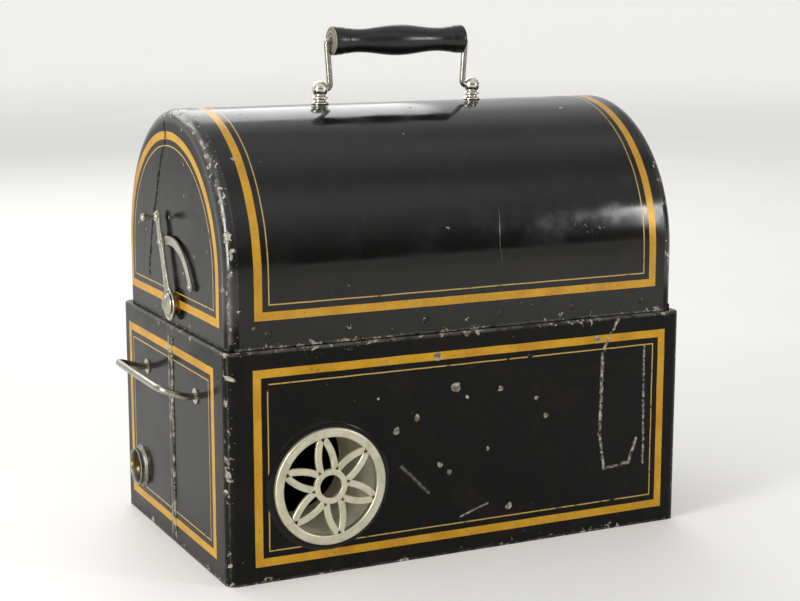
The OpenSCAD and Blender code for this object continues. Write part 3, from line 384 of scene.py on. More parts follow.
def barrelLining(w):
    k = cover["barrelLining"]
    return w.least(w.less(k["half"], w.size(w.less(w.x, k["centre"]))), w.less(w.z, k["bottom"]))


def endEdge(w):
    # out to the rolled corner, measured across the arch, or down to the foot
    up = w.most(w.less(w.z, cover["spring"]), 0.0)
    out = w.calc("SQRT", w.plus(w.times(w.y, w.y), w.times(up, up)))
    side = w.calc("ABSOLUTE", w.less(out, cover["radius"] - 2.5))
    return w.least(side, w.size(w.less(w.z, cover["foot"])))


def endLining(w):
    k = cover["endLining"]
    up = w.times(w.most(w.less(w.z, cover["spring"]), 0.0), 1 / k["rise"])
    across = w.times(w.less(w.y, k["centre"]), 1 / k["half"])
    out = w.calc("SQRT", w.plus(w.times(up, up), w.times(across, across)))
    arch = w.times(w.less(1.0, out), (k["half"] + k["rise"]) / 2)
    return w.least(arch, w.less(w.z, k["bottom"]))


crackle = [(13.5, 296), (12.8, 283), (25, 264.6), (36, 240), (47, 216), (52, 197), (54, 184)]


def endCracks(w):
    # a wandering crack in the paint of the left-hand end
    left = w.fade(w.x, -cover["half"] + 3, -cover["half"] + 2)
    wander = w.plus(w.times(w.less(w.noise(7, 5, 0.8), 0.5), 10.0),
                    w.times(w.less(w.noise(1.7, 3), 0.5), 7.0))
    away = w.toPath(w.plus(w.y, wander), w.z, crackle)
    return w.times(left, w.fade(away, 2.4, 1.0), w.fade(w.noise(1.9, 4, 0.7), 0.43, 0.49))


def barrelMarks(w):
    # a rubbed patch low on the right of the front
    front = w.fade(w.y, 0.0, -10.0)
    away = w.plus(w.toPath(w.x, w.z, [(93, 224), (104, 222), (124, 233)]),
                  w.times(w.less(w.noise(9, 3), 0.5), 16))
    nicks = w.noise(1.5, 4, 0.75, at=w.vector("MULTIPLY", w.place, (1, 0.6, 0.5)), warp=0.8)
    rub = w.times(w.fade(away, 9.0, 2.0), w.fade(nicks, 0.60, 0.66), 0.8)
    line = w.times(w.fade(w.plus(w.toPath(w.x, w.z, [(30, 196), (28, 214), (30, 238)]),
                                 w.times(w.noise(8, 2), 0.8)), 0.75, 0.35), 0.3)
    return w.times(front, w.most(rub, line))


japanBarrel = japanned("blackJapanBarrel", barrelEdge, barrelLining, barrelMarks, wear=0.85, rough=0.08,
                       sheen=0.42, ripple=0.3)
japanEnd = japanned("blackJapanEnd", endEdge, endLining, cracks=endCracks, wear=0.72, rough=0.10,
                    sheen=0.13, blotch=0.8, polish=0.8)
japanPlain = japanned("blackJapanPlain", lambda w: w.calc("ADD", 30.0, 0.0), wear=0.8)
japanRivet = japanned("blackJapanRivet", lambda w: w.calc("ADD", 1.3, 0.0), wear=0.7)


# ---- the other finishes ----
def satinMetal(name, tone, dirt, rough, wearTone=None, grain=(1, 1, 1), metal=1.0, dirtAmount=0.55):
    w = Wiring(name)
    tarnish = w.times(w.fade(w.noise(14, 5, 0.65, warp=0.8), 0.42, 0.72), dirtAmount)
    body = w.blend(tarnish, tone, dirt)
    pits = w.fade(w.noise(1.1, 4, 0.7), 0.66, 0.74)
    body = w.blend(w.times(pits, 0.7), body, dirt)
    if wearTone:
        body = w.blend(w.times(w.fade(w.noise(4, 4), 0.5, 0.68), 0.6), body, wearTone)
    brushed = w.noise(0.6, 2, at=w.vector("MULTIPLY", w.place, grain))
    gloss = w.plus(rough, w.times(tarnish, 0.22), w.times(w.less(brushed, 0.5), 0.16), w.times(pits, 0.15))
    height = w.plus(w.times(pits, -0.03), w.times(brushed, 0.012), w.times(w.noise(5, 3), 0.03))
    shine = w.less(metal, w.times(tarnish, 0.25))
    return w.finish(body, gloss, shine, height, 0.6)


nickel = satinMetal("agedNickel", colour(212, 206, 182), colour(160, 152, 124), 0.36, metal=0.85)
latchNickel = satinMetal("latchNickel", colour(184, 180, 162), colour(92, 88, 70), 0.27, dirtAmount=0.7)
nickelBright = satinMetal("brightNickel", colour(222, 219, 206), colour(120, 114, 98), 0.20, dirtAmount=0.4)
steelWire = satinMetal("drawnSteel", colour(156, 153, 142), colour(86, 80, 66), 0.24, colour(186, 182, 170),
                       (0.2, 1, 1), dirtAmount=0.3)
steelDull = satinMetal("dullSteel", colour(120, 118, 112), colour(60, 56, 50), 0.42)
brass = satinMetal("agedBrass", colour(196, 160, 86), colour(96, 74, 40), 0.26, colour(214, 184, 116))
ironCore = satinMetal("laminatedIron", colour(70, 70, 68), colour(44, 40, 36), 0.5, grain=(6, 0.1, 0.1),
                      metal=0.7)
worn = satinMetal("wornShroud", colour(150, 146, 136), colour(58, 54, 48), 0.38, colour(186, 180, 166),
                  dirtAmount=0.8)


def creamPaint():
    w = Wiring("creamDuctPaint")
    stain = w.fade(w.noise(18, 5, 0.7, warp=1.2), 0.42, 0.72)
    soot = w.fade(w.noise(3, 5, 0.7), 0.5, 0.74)
    body = w.blend(w.times(stain, 0.4), colour(246, 241, 222), colour(208, 197, 164))
    body = w.blend(w.times(soot, 0.4), body, colour(128, 118, 92))
    return w.finish(body, w.plus(0.5, w.times(stain, 0.2)), 0.0, w.times(w.noise(2, 4), 0.12), 0.7)


def wood(name, pale, dark, size, gloss, lacquer=0.0, along="x"):
    w = Wiring(name)
    squeeze = {"x": (0.08, 1, 1), "y": (1, 0.08, 1), "z": (1, 1, 0.08)}[along]
    at = w.vector("MULTIPLY", w.place, squeeze)
    figure = w.noise(size, 4, 0.6, at=at, warp=1.4)
    fine = w.noise(size / 6, 3, 0.7, at=at)
    rings = w.calc("PINGPONG", w.times(figure, 9.0), 1.0)
    body = w.blend(w.fade(rings, 0.1, 0.95), pale, dark)
    body = w.blend(w.times(w.fade(fine, 0.52, 0.62), 0.5), body, tuple(v * 0.45 for v in dark[:3]) + (1,))
    height = w.plus(w.times(fine, -0.08), w.times(rings, 0.03))
    w.shader.inputs["Coat Weight"].default_value = lacquer
    return w.finish(body, w.plus(gloss, w.times(fine, 0.15)), 0.0, height, 0.6)


def gripBlack():
    # ebonised wood, rubbed bare on its two end faces
    w = Wiring("ebonisedGrip")
    at = w.vector("MULTIPLY", w.place, (0.10, 1, 1))
    grain = w.noise(1.6, 4, 0.6, at=at)
    rub = w.fade(w.noise(9, 4, 0.6, at=at), 0.55, 0.75)
    body = w.blend(w.times(rub, 0.5), colour(16, 15, 14), colour(52, 42, 34))
    ends = w.fade(w.size(w.x), grip["half"] - 0.9, grip["half"] - 0.5)
    fromAxis = w.vector("LENGTH", w.join(0.0, w.y, w.less(w.z, grip["z"])))
    rings = w.calc("PINGPONG", w.times(fromAxis, 0.6), 1.0)
    raw = w.blend(rings, colour(150, 142, 126), colour(92, 84, 72))
    body = w.blend(ends, body, raw)
    chips = w.fade(w.plus(w.noise(2.5, 4, 0.7),
                          w.times(w.fade(w.size(w.x), grip["half"] - 3, grip["half"]), 0.1)), 0.72, 0.74)
    body = w.blend(w.times(chips, 0.8), body, colour(120, 104, 84))
    gloss = w.mix(ends, w.plus(0.20, w.times(grain, 0.18)), 0.7)
    return w.finish(body, gloss, 0.0, w.plus(w.times(grain, 0.04), w.times(chips, -0.08)), 0.7)


def clearGlass(name, tint):
    w = Wiring(name)
    w.shader.inputs["Transmission Weight"].default_value = 1.0
    w.shader.inputs["IOR"].default_value = 1.5
    film = w.fade(w.noise(12, 4), 0.45, 0.8)
    return w.finish(w.blend(w.times(film, 0.2), tint, colour(214, 212, 200)),
                    w.plus(0.02, w.times(film, 0.10)), 0.0)


def moulding():
    w = Wiring("blackMoulding")
    fleck = w.fade(w.noise(0.8, 3), 0.6, 0.7)
    body = w.blend(w.times(fleck, 0.3), colour(22, 20, 18), colour(58, 48, 40))
    return w.finish(body, w.plus(0.34, w.times(w.noise(6, 3), 0.2)), 0.0, w.times(w.noise(2, 3), 0.05), 0.6)


def porcelainGlaze():
    w = Wiring("glazedPorcelain")
    craze, lot = w.cells(4)
    body = w.blend(w.times(w.fade(w.noise(8, 4), 0.5, 0.75), 0.4), colour(230, 225, 212),
                   colour(196, 184, 158))
    return w.finish(body, w.plus(0.12, w.times(lot, 0.06)), 0.0, w.times(craze, 0.03), 0.5)


def copperWinding():
    w = Wiring("varnishedWinding")
    turns = w.calc("PINGPONG", w.times(w.z, 1 / 1.2), 0.5)
    # painted shade: the winding is coloured darker in the groove between each turn of wire, where shade
    # falls; the same ridges also make the bump
    body = w.blend(w.fade(turns, 0.05, 0.4), colour(60, 30, 14), colour(150, 88, 44))
    body = w.blend(w.times(w.fade(w.noise(12, 4), 0.5, 0.7), 0.5), body, colour(84, 52, 30))
    return w.finish(body, w.plus(0.25, w.times(w.noise(5, 3), 0.2)), 0.2, w.times(turns, 1.1), 1.0)


print("materials: metals, wood, paint, glass")
cream = creamPaint()
boardWood = wood("waxedBoard", colour(132, 88, 50), colour(82, 50, 26), 9, 0.36, 0.2)
stageWood = wood("polishedStage", colour(146, 92, 46), colour(92, 50, 24), 5, 0.24, 0.4, "z")
carrierWood = wood("polishedCarrier", colour(128, 74, 36), colour(78, 40, 18), 4, 0.24, 0.4, "y")
mirrorMetal = satinMetal("silveredMirror", colour(232, 232, 228), colour(150, 146, 136), 0.08,
                         dirtAmount=0.3)
lensGlass = clearGlass("lensGlass", colour(236, 244, 240))
bulbGlass = clearGlass("bulbGlass", colour(240, 240, 234))
pictureGlass = clearGlass("pictureGlass", colour(206, 220, 214))
blackMoulding = moulding()
porcelain = porcelainGlaze()
winding = copperWinding()


# ---- mesh helpers ----
def place(bm, name, material, body, slotName, replaced=(), sharp=35):
    bmesh.ops.remove_doubles(bm, verts=bm.verts, dist=1e-6)
    mesh = bpy.data.meshes.new(name)
    bm.to_mesh(mesh)
    bm.free()
    return placeMesh(mesh, name, material, body, replaced, sharp)


def placeMesh(mesh, name, material, body, replaced=(), sharp=35):
    mesh.materials.clear()
    mesh.materials.append(material)
    mesh.shade_smooth()
    mesh.set_sharp_from_angle(angle=radians(sharp))
    piece = bpy.data.objects.new(name, mesh)
    bpy.context.scene.collection.objects.link(piece)
    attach(piece, body)
    if replaced:
        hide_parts(*replaced)
    return piece


# the finished mesh of an object with modifiers; the object itself goes
def settled(piece):
    bpy.context.view_layer.update()
    depsgraph = bpy.context.evaluated_depsgraph_get()
    mesh = bpy.data.meshes.new_from_object(piece.evaluated_get(depsgraph))
    bpy.data.objects.remove(piece)
    return mesh


def loose(bm, name):
    mesh = bpy.data.meshes.new(name)
    bm.to_mesh(mesh)
    bm.free()
    piece = bpy.data.objects.new(name, mesh)
    bpy.context.scene.collection.objects.link(piece)
    return piece


def move(bm, verts, offset):
    bmesh.ops.translate(bm, verts=verts, vec=offset)


# a closed outline, so the turned piece is a ring with a skin all round
def ring(outline, segments=steps):
    bm = bmesh.new()
    verts = [bm.verts.new((radius, 0, height)) for radius, height in outline]
    edges = [bm.edges.new((verts[i - 1], verts[i])) for i in range(len(verts))]
    bmesh.ops.spin(bm, geom=verts + edges, axis=(0, 0, 1), cent=(0, 0, 0), angle=2 * pi, steps=segments,
                   use_merge=True)
    bmesh.ops.remove_doubles(bm, verts=bm.verts, dist=1e-6)
    bmesh.ops.recalc_face_normals(bm, faces=bm.faces)
    return bm


# an outline that starts and ends on the axis, so the turned piece is a solid
def solidTurned(outline, segments=steps):
    bm = bmesh.new()
    verts = [bm.verts.new((radius, 0, height)) for radius, height in outline]
    edges = [bm.edges.new(pair) for pair in zip(verts, verts[1:])]
    bmesh.ops.spin(bm, geom=verts + edges, axis=(0, 0, 1), cent=(0, 0, 0), angle=2 * pi,
                   steps=segments, use_merge=True)
    bmesh.ops.remove_doubles(bm, verts=bm.verts, dist=1e-6)
    bmesh.ops.recalc_face_normals(bm, faces=bm.faces)
    return bm


def arc(centre, radius, start, end, count=6):
    angles = [radians(start + (end - start) * i / count) for i in range(count + 1)]
    return [(centre[0] + radius * cos(a), centre[1] + radius * sin(a)) for a in angles]


def merge(bm, other):
    mesh = bpy.data.meshes.new("part")
    other.to_mesh(mesh)
    other.free()
    bm.from_mesh(mesh)
    bpy.data.meshes.remove(mesh)


def turn(bm, matrix):
    bmesh.ops.transform(bm, matrix=matrix, verts=bm.verts)
    return bm


facingFront = Matrix.Rotation(radians(90), 4, "X")       # +Z of a turned piece faces -Y
facingLeft = Matrix.Rotation(radians(-90), 4, "Y")       # +Z of a turned piece faces -X
facingRight = Matrix.Rotation(radians(90), 4, "Y")


def middle(node):
    low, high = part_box(node)
    return (low + high) / 2


# ---- base body ----
def baseBody():
    k = base
    halfX, halfY, top, sheet = k["halfX"] * mm, k["halfY"] * mm, k["top"] * mm, k["sheet"] * mm
    bm = bmesh.new()
    bmesh.ops.create_cube(bm, size=1)
    bmesh.ops.scale(bm, vec=(2 * halfX, 2 * halfY, top), verts=bm.verts)
    move(bm, bm.verts, (0, 0, top / 2))
    upright = [e for e in bm.edges if abs(e.verts[0].co.z - e.verts[1].co.z) > top / 2]
    bmesh.ops.bevel(bm, geom=upright, affect="EDGES", offset=k["corner"] * mm, segments=10, profile=0.5,
                    material=-1)
    lid = max(bm.faces, key=lambda f: f.calc_center_median().z)
    bottom = min(bm.faces, key=lambda f: f.calc_center_median().z)
    bmesh.ops.delete(bm, geom=[bottom], context="FACES")
    bmesh.ops.bevel(bm, geom=list(lid.edges), affect="EDGES", offset=k["topBend"] * mm, segments=4,
                    profile=0.5, material=-1)
    lid = max(bm.faces, key=lambda f: (f.calc_center_median().z, f.calc_area()))
    bmesh.ops.inset_region(bm, faces=[lid], thickness=(k["ledge"] - k["topBend"]) * mm,
                           use_even_offset=True)
    grown = bmesh.ops.extrude_face_region(bm, geom=[lid])
    rim = [g for g in grown["geom"] if isinstance(g, bmesh.types.BMVert)]
    bmesh.ops.delete(bm, geom=[lid], context="FACES_ONLY")
    move(bm, rim, (0, 0, k["rimHeight"] * mm))
    bmesh.ops.delete(bm, geom=[g for g in grown["geom"] if isinstance(g, bmesh.types.BMFace)],
                     context="FACES_ONLY")
    bmesh.ops.recalc_face_normals(bm, faces=bm.faces)
    shell = loose(bm, "shell")
    wall = shell.modifiers.new("sheet", "SOLIDIFY")
    wall.thickness, wall.offset, wall.use_even_offset = sheet, -1, True
    # the holes for the duct, the current inlet and the two ferrules
    cutters = bmesh.new()
    for node, facing in (("vent_duct", facingFront), ("inlet_block", facingLeft)):
        low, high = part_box(node)
        across = min(high.z - low.z, (high.x - low.x) if facing is facingFront else (high.y - low.y))
        if node == "vent_duct":
            across -= k["ductFlange"]             # its flange lies behind the sheet
        cutter = bmesh.new()
        radius = across / 2 + k["holeGap"]
        bmesh.ops.create_cone(cutter, cap_ends=True, segments=steps, radius1=radius, radius2=radius,
                              depth=k["cutterDepth"], matrix=facing)
        at = Vector((middle(node).x, -halfY, middle(node).z)) if facing is facingFront \
            else Vector((-halfX, middle(node).y, middle(node).z))
        move(cutter, cutter.verts, at)
        merge(cutters, cutter)
    low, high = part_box("rod_ferrules")
    for y in (low.y + k["rodInset"], high.y - k["rodInset"]):
        cutter = bmesh.new()
        bmesh.ops.create_cone(cutter, cap_ends=True, segments=32, radius1=k["rodHole"],
                              radius2=k["rodHole"], depth=k["cutterDepth"], matrix=facingLeft)
        move(cutter, cutter.verts, (-halfX, y, (low.z + high.z) / 2))
        merge(cutters, cutter)
    cutterPiece = loose(cutters, "cutters")
    bore = shell.modifiers.new("holes", "BOOLEAN")
    bore.operation, bore.object, bore.solver = "DIFFERENCE", cutterPiece, "EXACT"
    mesh = settled(shell)
    bpy.data.objects.remove(cutterPiece)
    piece = placeMesh(mesh, "baseBody", japanBase, "base", ["base_shell"])
    level = piece.modifiers.new("flats", "WEIGHTED_NORMAL")
    level.keep_sharp = True
    return piece


print("pieces: base")
baseBody()


# ---- cover ----
def archEdges(bm, x, radius):
    foot, spring = cover["foot"] * mm, cover["spring"] * mm
    low = bm.verts.new((x, -radius, foot))
    knee = bm.verts.new((x, -radius, spring))
    bm.edges.new((low, knee))
    made = bmesh.ops.spin(bm, geom=[knee], axis=(-1, 0, 0), cent=(x, 0, spring), angle=pi, steps=steps)
    last = [g for g in made["geom_last"] if isinstance(g, bmesh.types.BMVert)][0]
    far = bm.verts.new((x, radius, foot))
    bm.edges.new((last, far))


def coverBarrel():
    k = cover
    half, radius = k["barrelHalf"] * mm, k["radius"] * mm
    bm = bmesh.new()
    archEdges(bm, -half, radius)
    grown = bmesh.ops.extrude_edge_only(bm, edges=list(bm.edges))
    move(bm, [g for g in grown["geom"] if isinstance(g, bmesh.types.BMVert)], (2 * half, 0, 0))
    outward(bm, Vector((0, 0, k["spring"] * mm)))
    shell = loose(bm, "barrel")
    wall = shell.modifiers.new("sheet", "SOLIDIFY")
    wall.thickness, wall.offset, wall.use_even_offset = k["sheet"] * mm, -1, True
    return placeMesh(settled(shell), "coverBarrel", japanBarrel, "cover", ["cover_barrel"])


# point every face away from a place inside the shell
def outward(bm, inside):
    bmesh.ops.remove_doubles(bm, verts=bm.verts, dist=1e-6)
    bmesh.ops.recalc_face_normals(bm, faces=bm.faces)
    probe = max(bm.faces, key=lambda f: f.calc_area())
    if probe.normal.dot(probe.calc_center_median() - inside) < 0:
        bmesh.ops.reverse_faces(bm, faces=bm.faces)


def coverEnd(side):
    k = cover
    xEnd, radius, roll = k["half"] * mm, k["radius"] * mm, k["roll"] * mm
    spring, foot = k["spring"] * mm, k["foot"] * mm
    bm = bmesh.new()
    outline = [(0, xEnd)] + arc(((radius - roll), xEnd - roll), roll, 90, 0, 10)
    verts = [bm.verts.new((x, -r, spring)) for r, x in outline]
    edges = [bm.edges.new(pair) for pair in zip(verts, verts[1:])]
    bmesh.ops.spin(bm, geom=verts + edges, axis=(-1, 0, 0), cent=(0, 0, spring), angle=pi, steps=steps)
    bmesh.ops.remove_doubles(bm, verts=bm.verts, dist=1e-6)
    level = [e for e in bm.edges if e.is_boundary and all(abs(v.co.z - spring) < 1e-6 for v in e.verts)]
    grown = bmesh.ops.extrude_edge_only(bm, edges=level)
    move(bm, [g for g in grown["geom"] if isinstance(g, bmesh.types.BMVert)], (0, 0, foot - spring))
    outward(bm, Vector((0, 0, spring)))
    if side < 0:
        bmesh.ops.mirror(bm, geom=bm.verts[:] + bm.edges[:] + bm.faces[:], axis="X", merge_dist=0)
        bmesh.ops.delete(bm, geom=[v for v in bm.verts if v.co.x > 0], context="VERTS")
        outward(bm, Vector((0, 0, spring)))
    name, node = ("coverEndRight", "cover_end_right") if side > 0 else ("coverEndLeft", "cover_end_left")
    shell = loose(bm, name + "Sheet")
    wall = shell.modifiers.new("sheet", "SOLIDIFY")
    wall.thickness, wall.offset, wall.use_even_offset = k["sheet"] * mm, -1, True
    piece = placeMesh(settled(shell), name, japanEnd, "cover", [node])
    level = piece.modifiers.new("flats", "WEIGHTED_NORMAL")
    level.keep_sharp = True
    return piece


print("pieces: cover")
coverBarrel()
coverEnd(-1)
coverEnd(1)


# ---- ventilator ----
rlo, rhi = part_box("vent_rosette")
rosette = dict(centre=Vector(((rlo.x + rhi.x) / 2, 0, (rlo.z + rhi.z) / 2)), radius=(rhi.x - rlo.x) / 2,
               face=rlo.y, rim=6.5 * mm, thick=3.4 * mm, hub=12 * mm, hole=7.75 * mm, rib=4.7 * mm,
               ribThick=2.5 * mm, petals=6, bulge=2.4 * mm, turn=10)


def rosettePiece():
    k = rosette
    outer, thick = k["radius"], k["thick"]
    inner = outer - k["rim"]
    bead = 1.5 * mm
    bm = ring([(inner, 0), (outer, 0), (outer, thick - bead)]
              + arc((outer - bead, thick - bead), bead, 0, 90)[1:]
              + arc((inner + bead, thick - bead - 0.2 * mm), bead, 90, 180))
    hubTop = thick - 0.6 * mm
    soft = 0.8 * mm
    merge(bm, ring([(k["hole"], 0), (k["hub"], 0), (k["hub"], hubTop - soft)]
                   + arc((k["hub"] - soft, hubTop - soft), soft, 0, 90)[1:]
                   + arc((k["hole"] + soft, hubTop - soft), soft, 90, 180)))
    # each petal is a pointed arch on the hub: a rib is a flat bar swung along the arc from hub to rim
    half, top, crisp = k["rib"] / 2, k["ribThick"], 0.4 * mm
    tip = Vector((inner + 1.5 * mm, 0))
    for side in (-1, 1):
        for number in range(k["petals"]):
            foot = Vector((cos(radians(27)), side * sin(radians(27)))) * (k["hub"] - 1.2 * mm)
            chord = tip - foot
            bend = chord.length ** 2 / (8 * k["bulge"]) + k["bulge"] / 2
            across = Vector((-chord.y, chord.x)).normalized() * (-side)
            centre = (foot + tip) / 2 + across * (bend - k["bulge"])
            start, end = foot - centre, tip - centre
            sweep = atan2(start.x * end.y - start.y * end.x, start.dot(end))
            rib = bmesh.new()
            section = [(-half, 0.2 * mm), (half, 0.2 * mm), (half, top - crisp), (half - crisp, top),
                       (crisp - half, top), (-half, top - crisp)]
            ray = start.normalized()
            verts = [rib.verts.new((*(centre + ray * (bend + u)), v)) for u, v in section]
            face = rib.faces.new(verts)
            bmesh.ops.spin(rib, geom=[face], axis=(0, 0, 1), cent=(*centre, 0), angle=sweep, steps=22)
            bmesh.ops.recalc_face_normals(rib, faces=rib.faces)
            turn(rib, Matrix.Rotation(number * 2 * pi / k["petals"], 4, "Z"))
            merge(bm, rib)
    # the spigot that enters the duct
    merge(bm, ring([(outer - 5.8 * mm, -2.6 * mm), (outer - 3.4 * mm, -2.6 * mm),
                    (outer - 3.4 * mm, 0.1 * mm), (outer - 5.8 * mm, 0.1 * mm)]))
    turn(bm, Matrix.Rotation(radians(90 + k["turn"]), 4, "Z"))
    turn(bm, facingFront)
    move(bm, bm.verts, (k["centre"].x, k["face"] + thick, k["centre"].z))
    return place(bm, "ventRosette", nickel, "base", "nickel", ["vent_rosette"], sharp=40)


def bezelPiece():
    low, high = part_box("vent_bezel")
    outer, lift = (high.x - low.x) / 2, high.y - low.y
    inner = outer - 6.3 * mm
    # a low swage pressed up round the hole
    outline = [(inner, 0), (outer, 0)]
    outline += [(outer - (outer - inner) * t, lift * sin(pi * min(t * 1.15, 0.62)) ** 1.2)
                for t in (0.12, 0.25, 0.4, 0.55, 0.7, 0.85, 1.0)]
    bm = ring(outline)
    turn(bm, facingFront)
    move(bm, bm.verts, ((low.x + high.x) / 2, high.y, (low.z + high.z) / 2))
    return place(bm, "ventBezel", japanPlain, "base", "japan", ["vent_bezel"], sharp=50)


print("pieces: ventilator")
rosettePiece()
bezelPiece()


# ---- bent wires ----
# a route through corners, each rounded to its own radius, as a round bar
def bentBar(name, corners, diameter, material, body, slotName, replaced):
    points = [Vector(corners[0][0])]
    for (before, _), (corner, radius), (after, _) in zip(corners, corners[1:], corners[2:]):
        corner = Vector(corner)
        first, second = (Vector(before) - corner).normalized(), (Vector(after) - corner).normalized()
        half = first.angle(second) / 2
        hub = corner + (first + second).normalized() * radius / sin(half)
        start, end = corner + first * radius / tan(half), corner + second * radius / tan(half)
        sweep = (start - hub).angle(end - hub)
        axis = (start - hub).cross(end - hub).normalized()
        points += [hub + Matrix.Rotation(sweep * i / 10, 3, axis) @ (start - hub) for i in range(11)]
    points.append(Vector(corners[-1][0]))
    curve = bpy.data.curves.new(name + "Route", "CURVE")
    curve.dimensions, curve.bevel_depth, curve.bevel_resolution = "3D", diameter / 2, 6
    curve.use_fill_caps = True
    spline = curve.splines.new("POLY")
    spline.points.add(len(points) - 1)
    for slot, point in zip(spline.points, points):
        slot.co = (*point, 1)
    route = bpy.data.objects.new(name + "Route", curve)
    bpy.context.scene.collection.objects.link(route)
    mesh = settled(route)
    bpy.data.curves.remove(curve)
    bm = bmesh.new()
    bm.from_mesh(mesh)
    bpy.data.meshes.remove(mesh)
    bmesh.ops.remove_doubles(bm, verts=bm.verts, dist=1e-6)
    bmesh.ops.recalc_face_normals(bm, faces=bm.faces)
    return place(bm, name, material, body, slotName, replaced, sharp=50)


def drawRod():
    low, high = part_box("draw_rod")
    wire, slack = 4.8 * mm, 0.03 * mm
    radius = wire / 2
    y = high.y - radius - slack
    zLeg, zBar = low.z + radius + slack, high.z - radius
    xBar, xKnee, xEnd = low.x + radius, -base["halfX"] * mm - 7 * mm, high.x
    corners = [((xEnd, -y, zLeg), 0), ((xKnee, -y, zLeg), 16 * mm), ((xBar, -y, zBar), 12 * mm),
               ((xBar, y, zBar), 12 * mm), ((xKnee, y, zLeg), 16 * mm), ((xEnd, y, zLeg), 0)]
    return bentBar("drawRod", corners, wire, steelWire, "rod", "steel", ["draw_rod"])


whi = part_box("handle_wire")[1]
plo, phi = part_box("handle_posts")
handle = dict(wire=4.4 * mm, post=plo.x + 6.3 * mm, ball=5.8, ballZ=phi.z - 5.8 * mm, foot=52.6 * mm,
              top=55.0 * mm)
glo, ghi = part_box("handle_grip")
grip = dict(half=ghi.x / mm, z=(glo.z + ghi.z) / 2 / mm, radius=(ghi.z - glo.z) / 2 / mm, neck=8.4,
            end=10.2, neckPlace=0.62)


def handleWire():
    k = handle
    z = grip["z"] * mm
    outer = whi.x
    corners = [((-outer, 0, k["ballZ"]), 0), ((-k["foot"], 0, k["ballZ"]), 3.4 * mm),
               ((-k["top"], 0, z), 2.3 * mm), ((k["top"], 0, z), 2.3 * mm),
               ((k["foot"], 0, k["ballZ"]), 3.4 * mm), ((outer, 0, k["ballZ"]), 0)]
    return bentBar("handleWire", corners, k["wire"], steelWire, "handle", "steel", ["handle_wire"])


def gripRadius(t):
    k = grip
    if t < k["neckPlace"]:
        return (k["radius"] + k["neck"]) / 2 + (k["radius"] - k["neck"]) / 2 * cos(pi * t / k["neckPlace"])
    share = (t - k["neckPlace"]) / (1 - k["neckPlace"])
    return (k["end"] + k["neck"]) / 2 - (k["end"] - k["neck"]) / 2 * cos(pi * share)


def handleGrip():
    k = grip
    half, bore = k["half"], handle["wire"] / mm / 2 + 0.06
    count = 40
    outline = []
    for i in range(-count, count + 1):
        t = abs(i) / count
        groove = 0.35 if round(t * count) == 33 else 0          # a scribed line near each end
        outline.append(((gripRadius(t) - groove) * mm, i * (half - 1.2) / count * mm))
    lip = [((gripRadius(1) - 0.4) * mm, (half - 0.5) * mm), ((gripRadius(1) - 1.3) * mm, half * mm)]
    outline += lip + [((bore + 0.8) * mm, half * mm), (bore * mm, (half - 0.8) * mm),
                      (bore * mm, -(half - 0.8) * mm), ((bore + 0.8) * mm, -half * mm)]
    outline += [(r, -z) for r, z in reversed(lip)]
    bm = ring(outline)
    turn(bm, facingRight)
    move(bm, bm.verts, (0, 0, k["z"] * mm))
    return place(bm, "handleGrip", gripBlack(), "grip", "grip_wood", ["handle_grip"], sharp=50)


def handlePosts():
    # foot flange, waist, collar, neck and ball, turned in one piece
    k = handle
    crown = cover["crown"] * mm
    ballHigh = (k["ballZ"] - crown) / mm
    outline = [(0, -7), (2.5, -7), (2.5, 0), (6.1, 0), (6.3, 0.3), (6.3, 0.9), (5.9, 1.4), (4.6, 1.9),
               (4.1, 2.8), (4.3, 3.6), (5.2, 4.0), (6.0, 4.3), (6.0, 4.9), (5.4, 5.3), (4.0, 5.7)]
    outline += arc((0, ballHigh), k["ball"], -51, 90, 18)
    pair = bmesh.new()
    for side in (-1, 1):
        post = solidTurned([(r * mm, z * mm) for r, z in outline], 48)
        move(post, post.verts, (side * abs(k["post"]), 0, crown))
        merge(pair, post)
    return place(pair, "handlePosts", nickelBright, "cover", "nickel", ["handle_posts"], sharp=60)


print("pieces: draw rod and handle")
drawRod()
handleWire()
handleGrip()
handlePosts()


# ---- current inlet ----
def inletShroud():
    low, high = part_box("inlet_shroud")
    k = dict(radius=13.5, bore=12.4, reach=5.0, flange=15.8)
    outline = [(k["bore"], -0.2), (k["bore"], k["reach"] - 0.5), (k["bore"] + 0.4, k["reach"] - 0.05),
               (k["radius"] - 0.1, k["reach"]), (k["radius"] + 0.5, k["reach"] - 0.5),
               (k["radius"] + 0.3, k["reach"] - 1.3), (k["radius"] + 0.1, 1.8), (k["radius"] + 0.7, 1.0),
               (k["flange"] - 0.3, 0.7), (k["flange"], 0.3), (k["flange"], 0)]
    bm = ring([(r * mm, z * mm) for r, z in outline])
    turn(bm, facingLeft)
    move(bm, bm.verts, (high.x, (low.y + high.y) / 2, (low.z + high.z) / 2))
    return place(bm, "inletShroud", worn, "base", "steel", ["inlet_shroud"], sharp=50)


def inletPins():
    low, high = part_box("inlet_pins")
    radius = (high.z - low.z) / 2
    outline = [(0, 0), (radius, 0), (radius, 17 * mm), (radius * 0.82, 17.2 * mm),
               (radius * 0.82, 17.8 * mm), (radius, 18 * mm), (radius, 19.6 * mm)]
    outline += arc((0, high.x - low.x - radius), radius, 0, 90, 8)
    pair = bmesh.new()
    for y in (low.y + radius, high.y - radius):
        pin = solidTurned(outline, 32)
        turn(pin, facingLeft)
        move(pin, pin.verts, (high.x, y, (low.z + high.z) / 2))
        merge(pair, pin)
    return place(pair, "inletPins", brass, "base", "brass", ["inlet_pins"], sharp=50)


print("pieces: current inlet")
inletShroud()
inletPins()


# ---- end latches ----
latch = dict(lean=20, arm=8.0, eye=23.0, sheet=2.0)


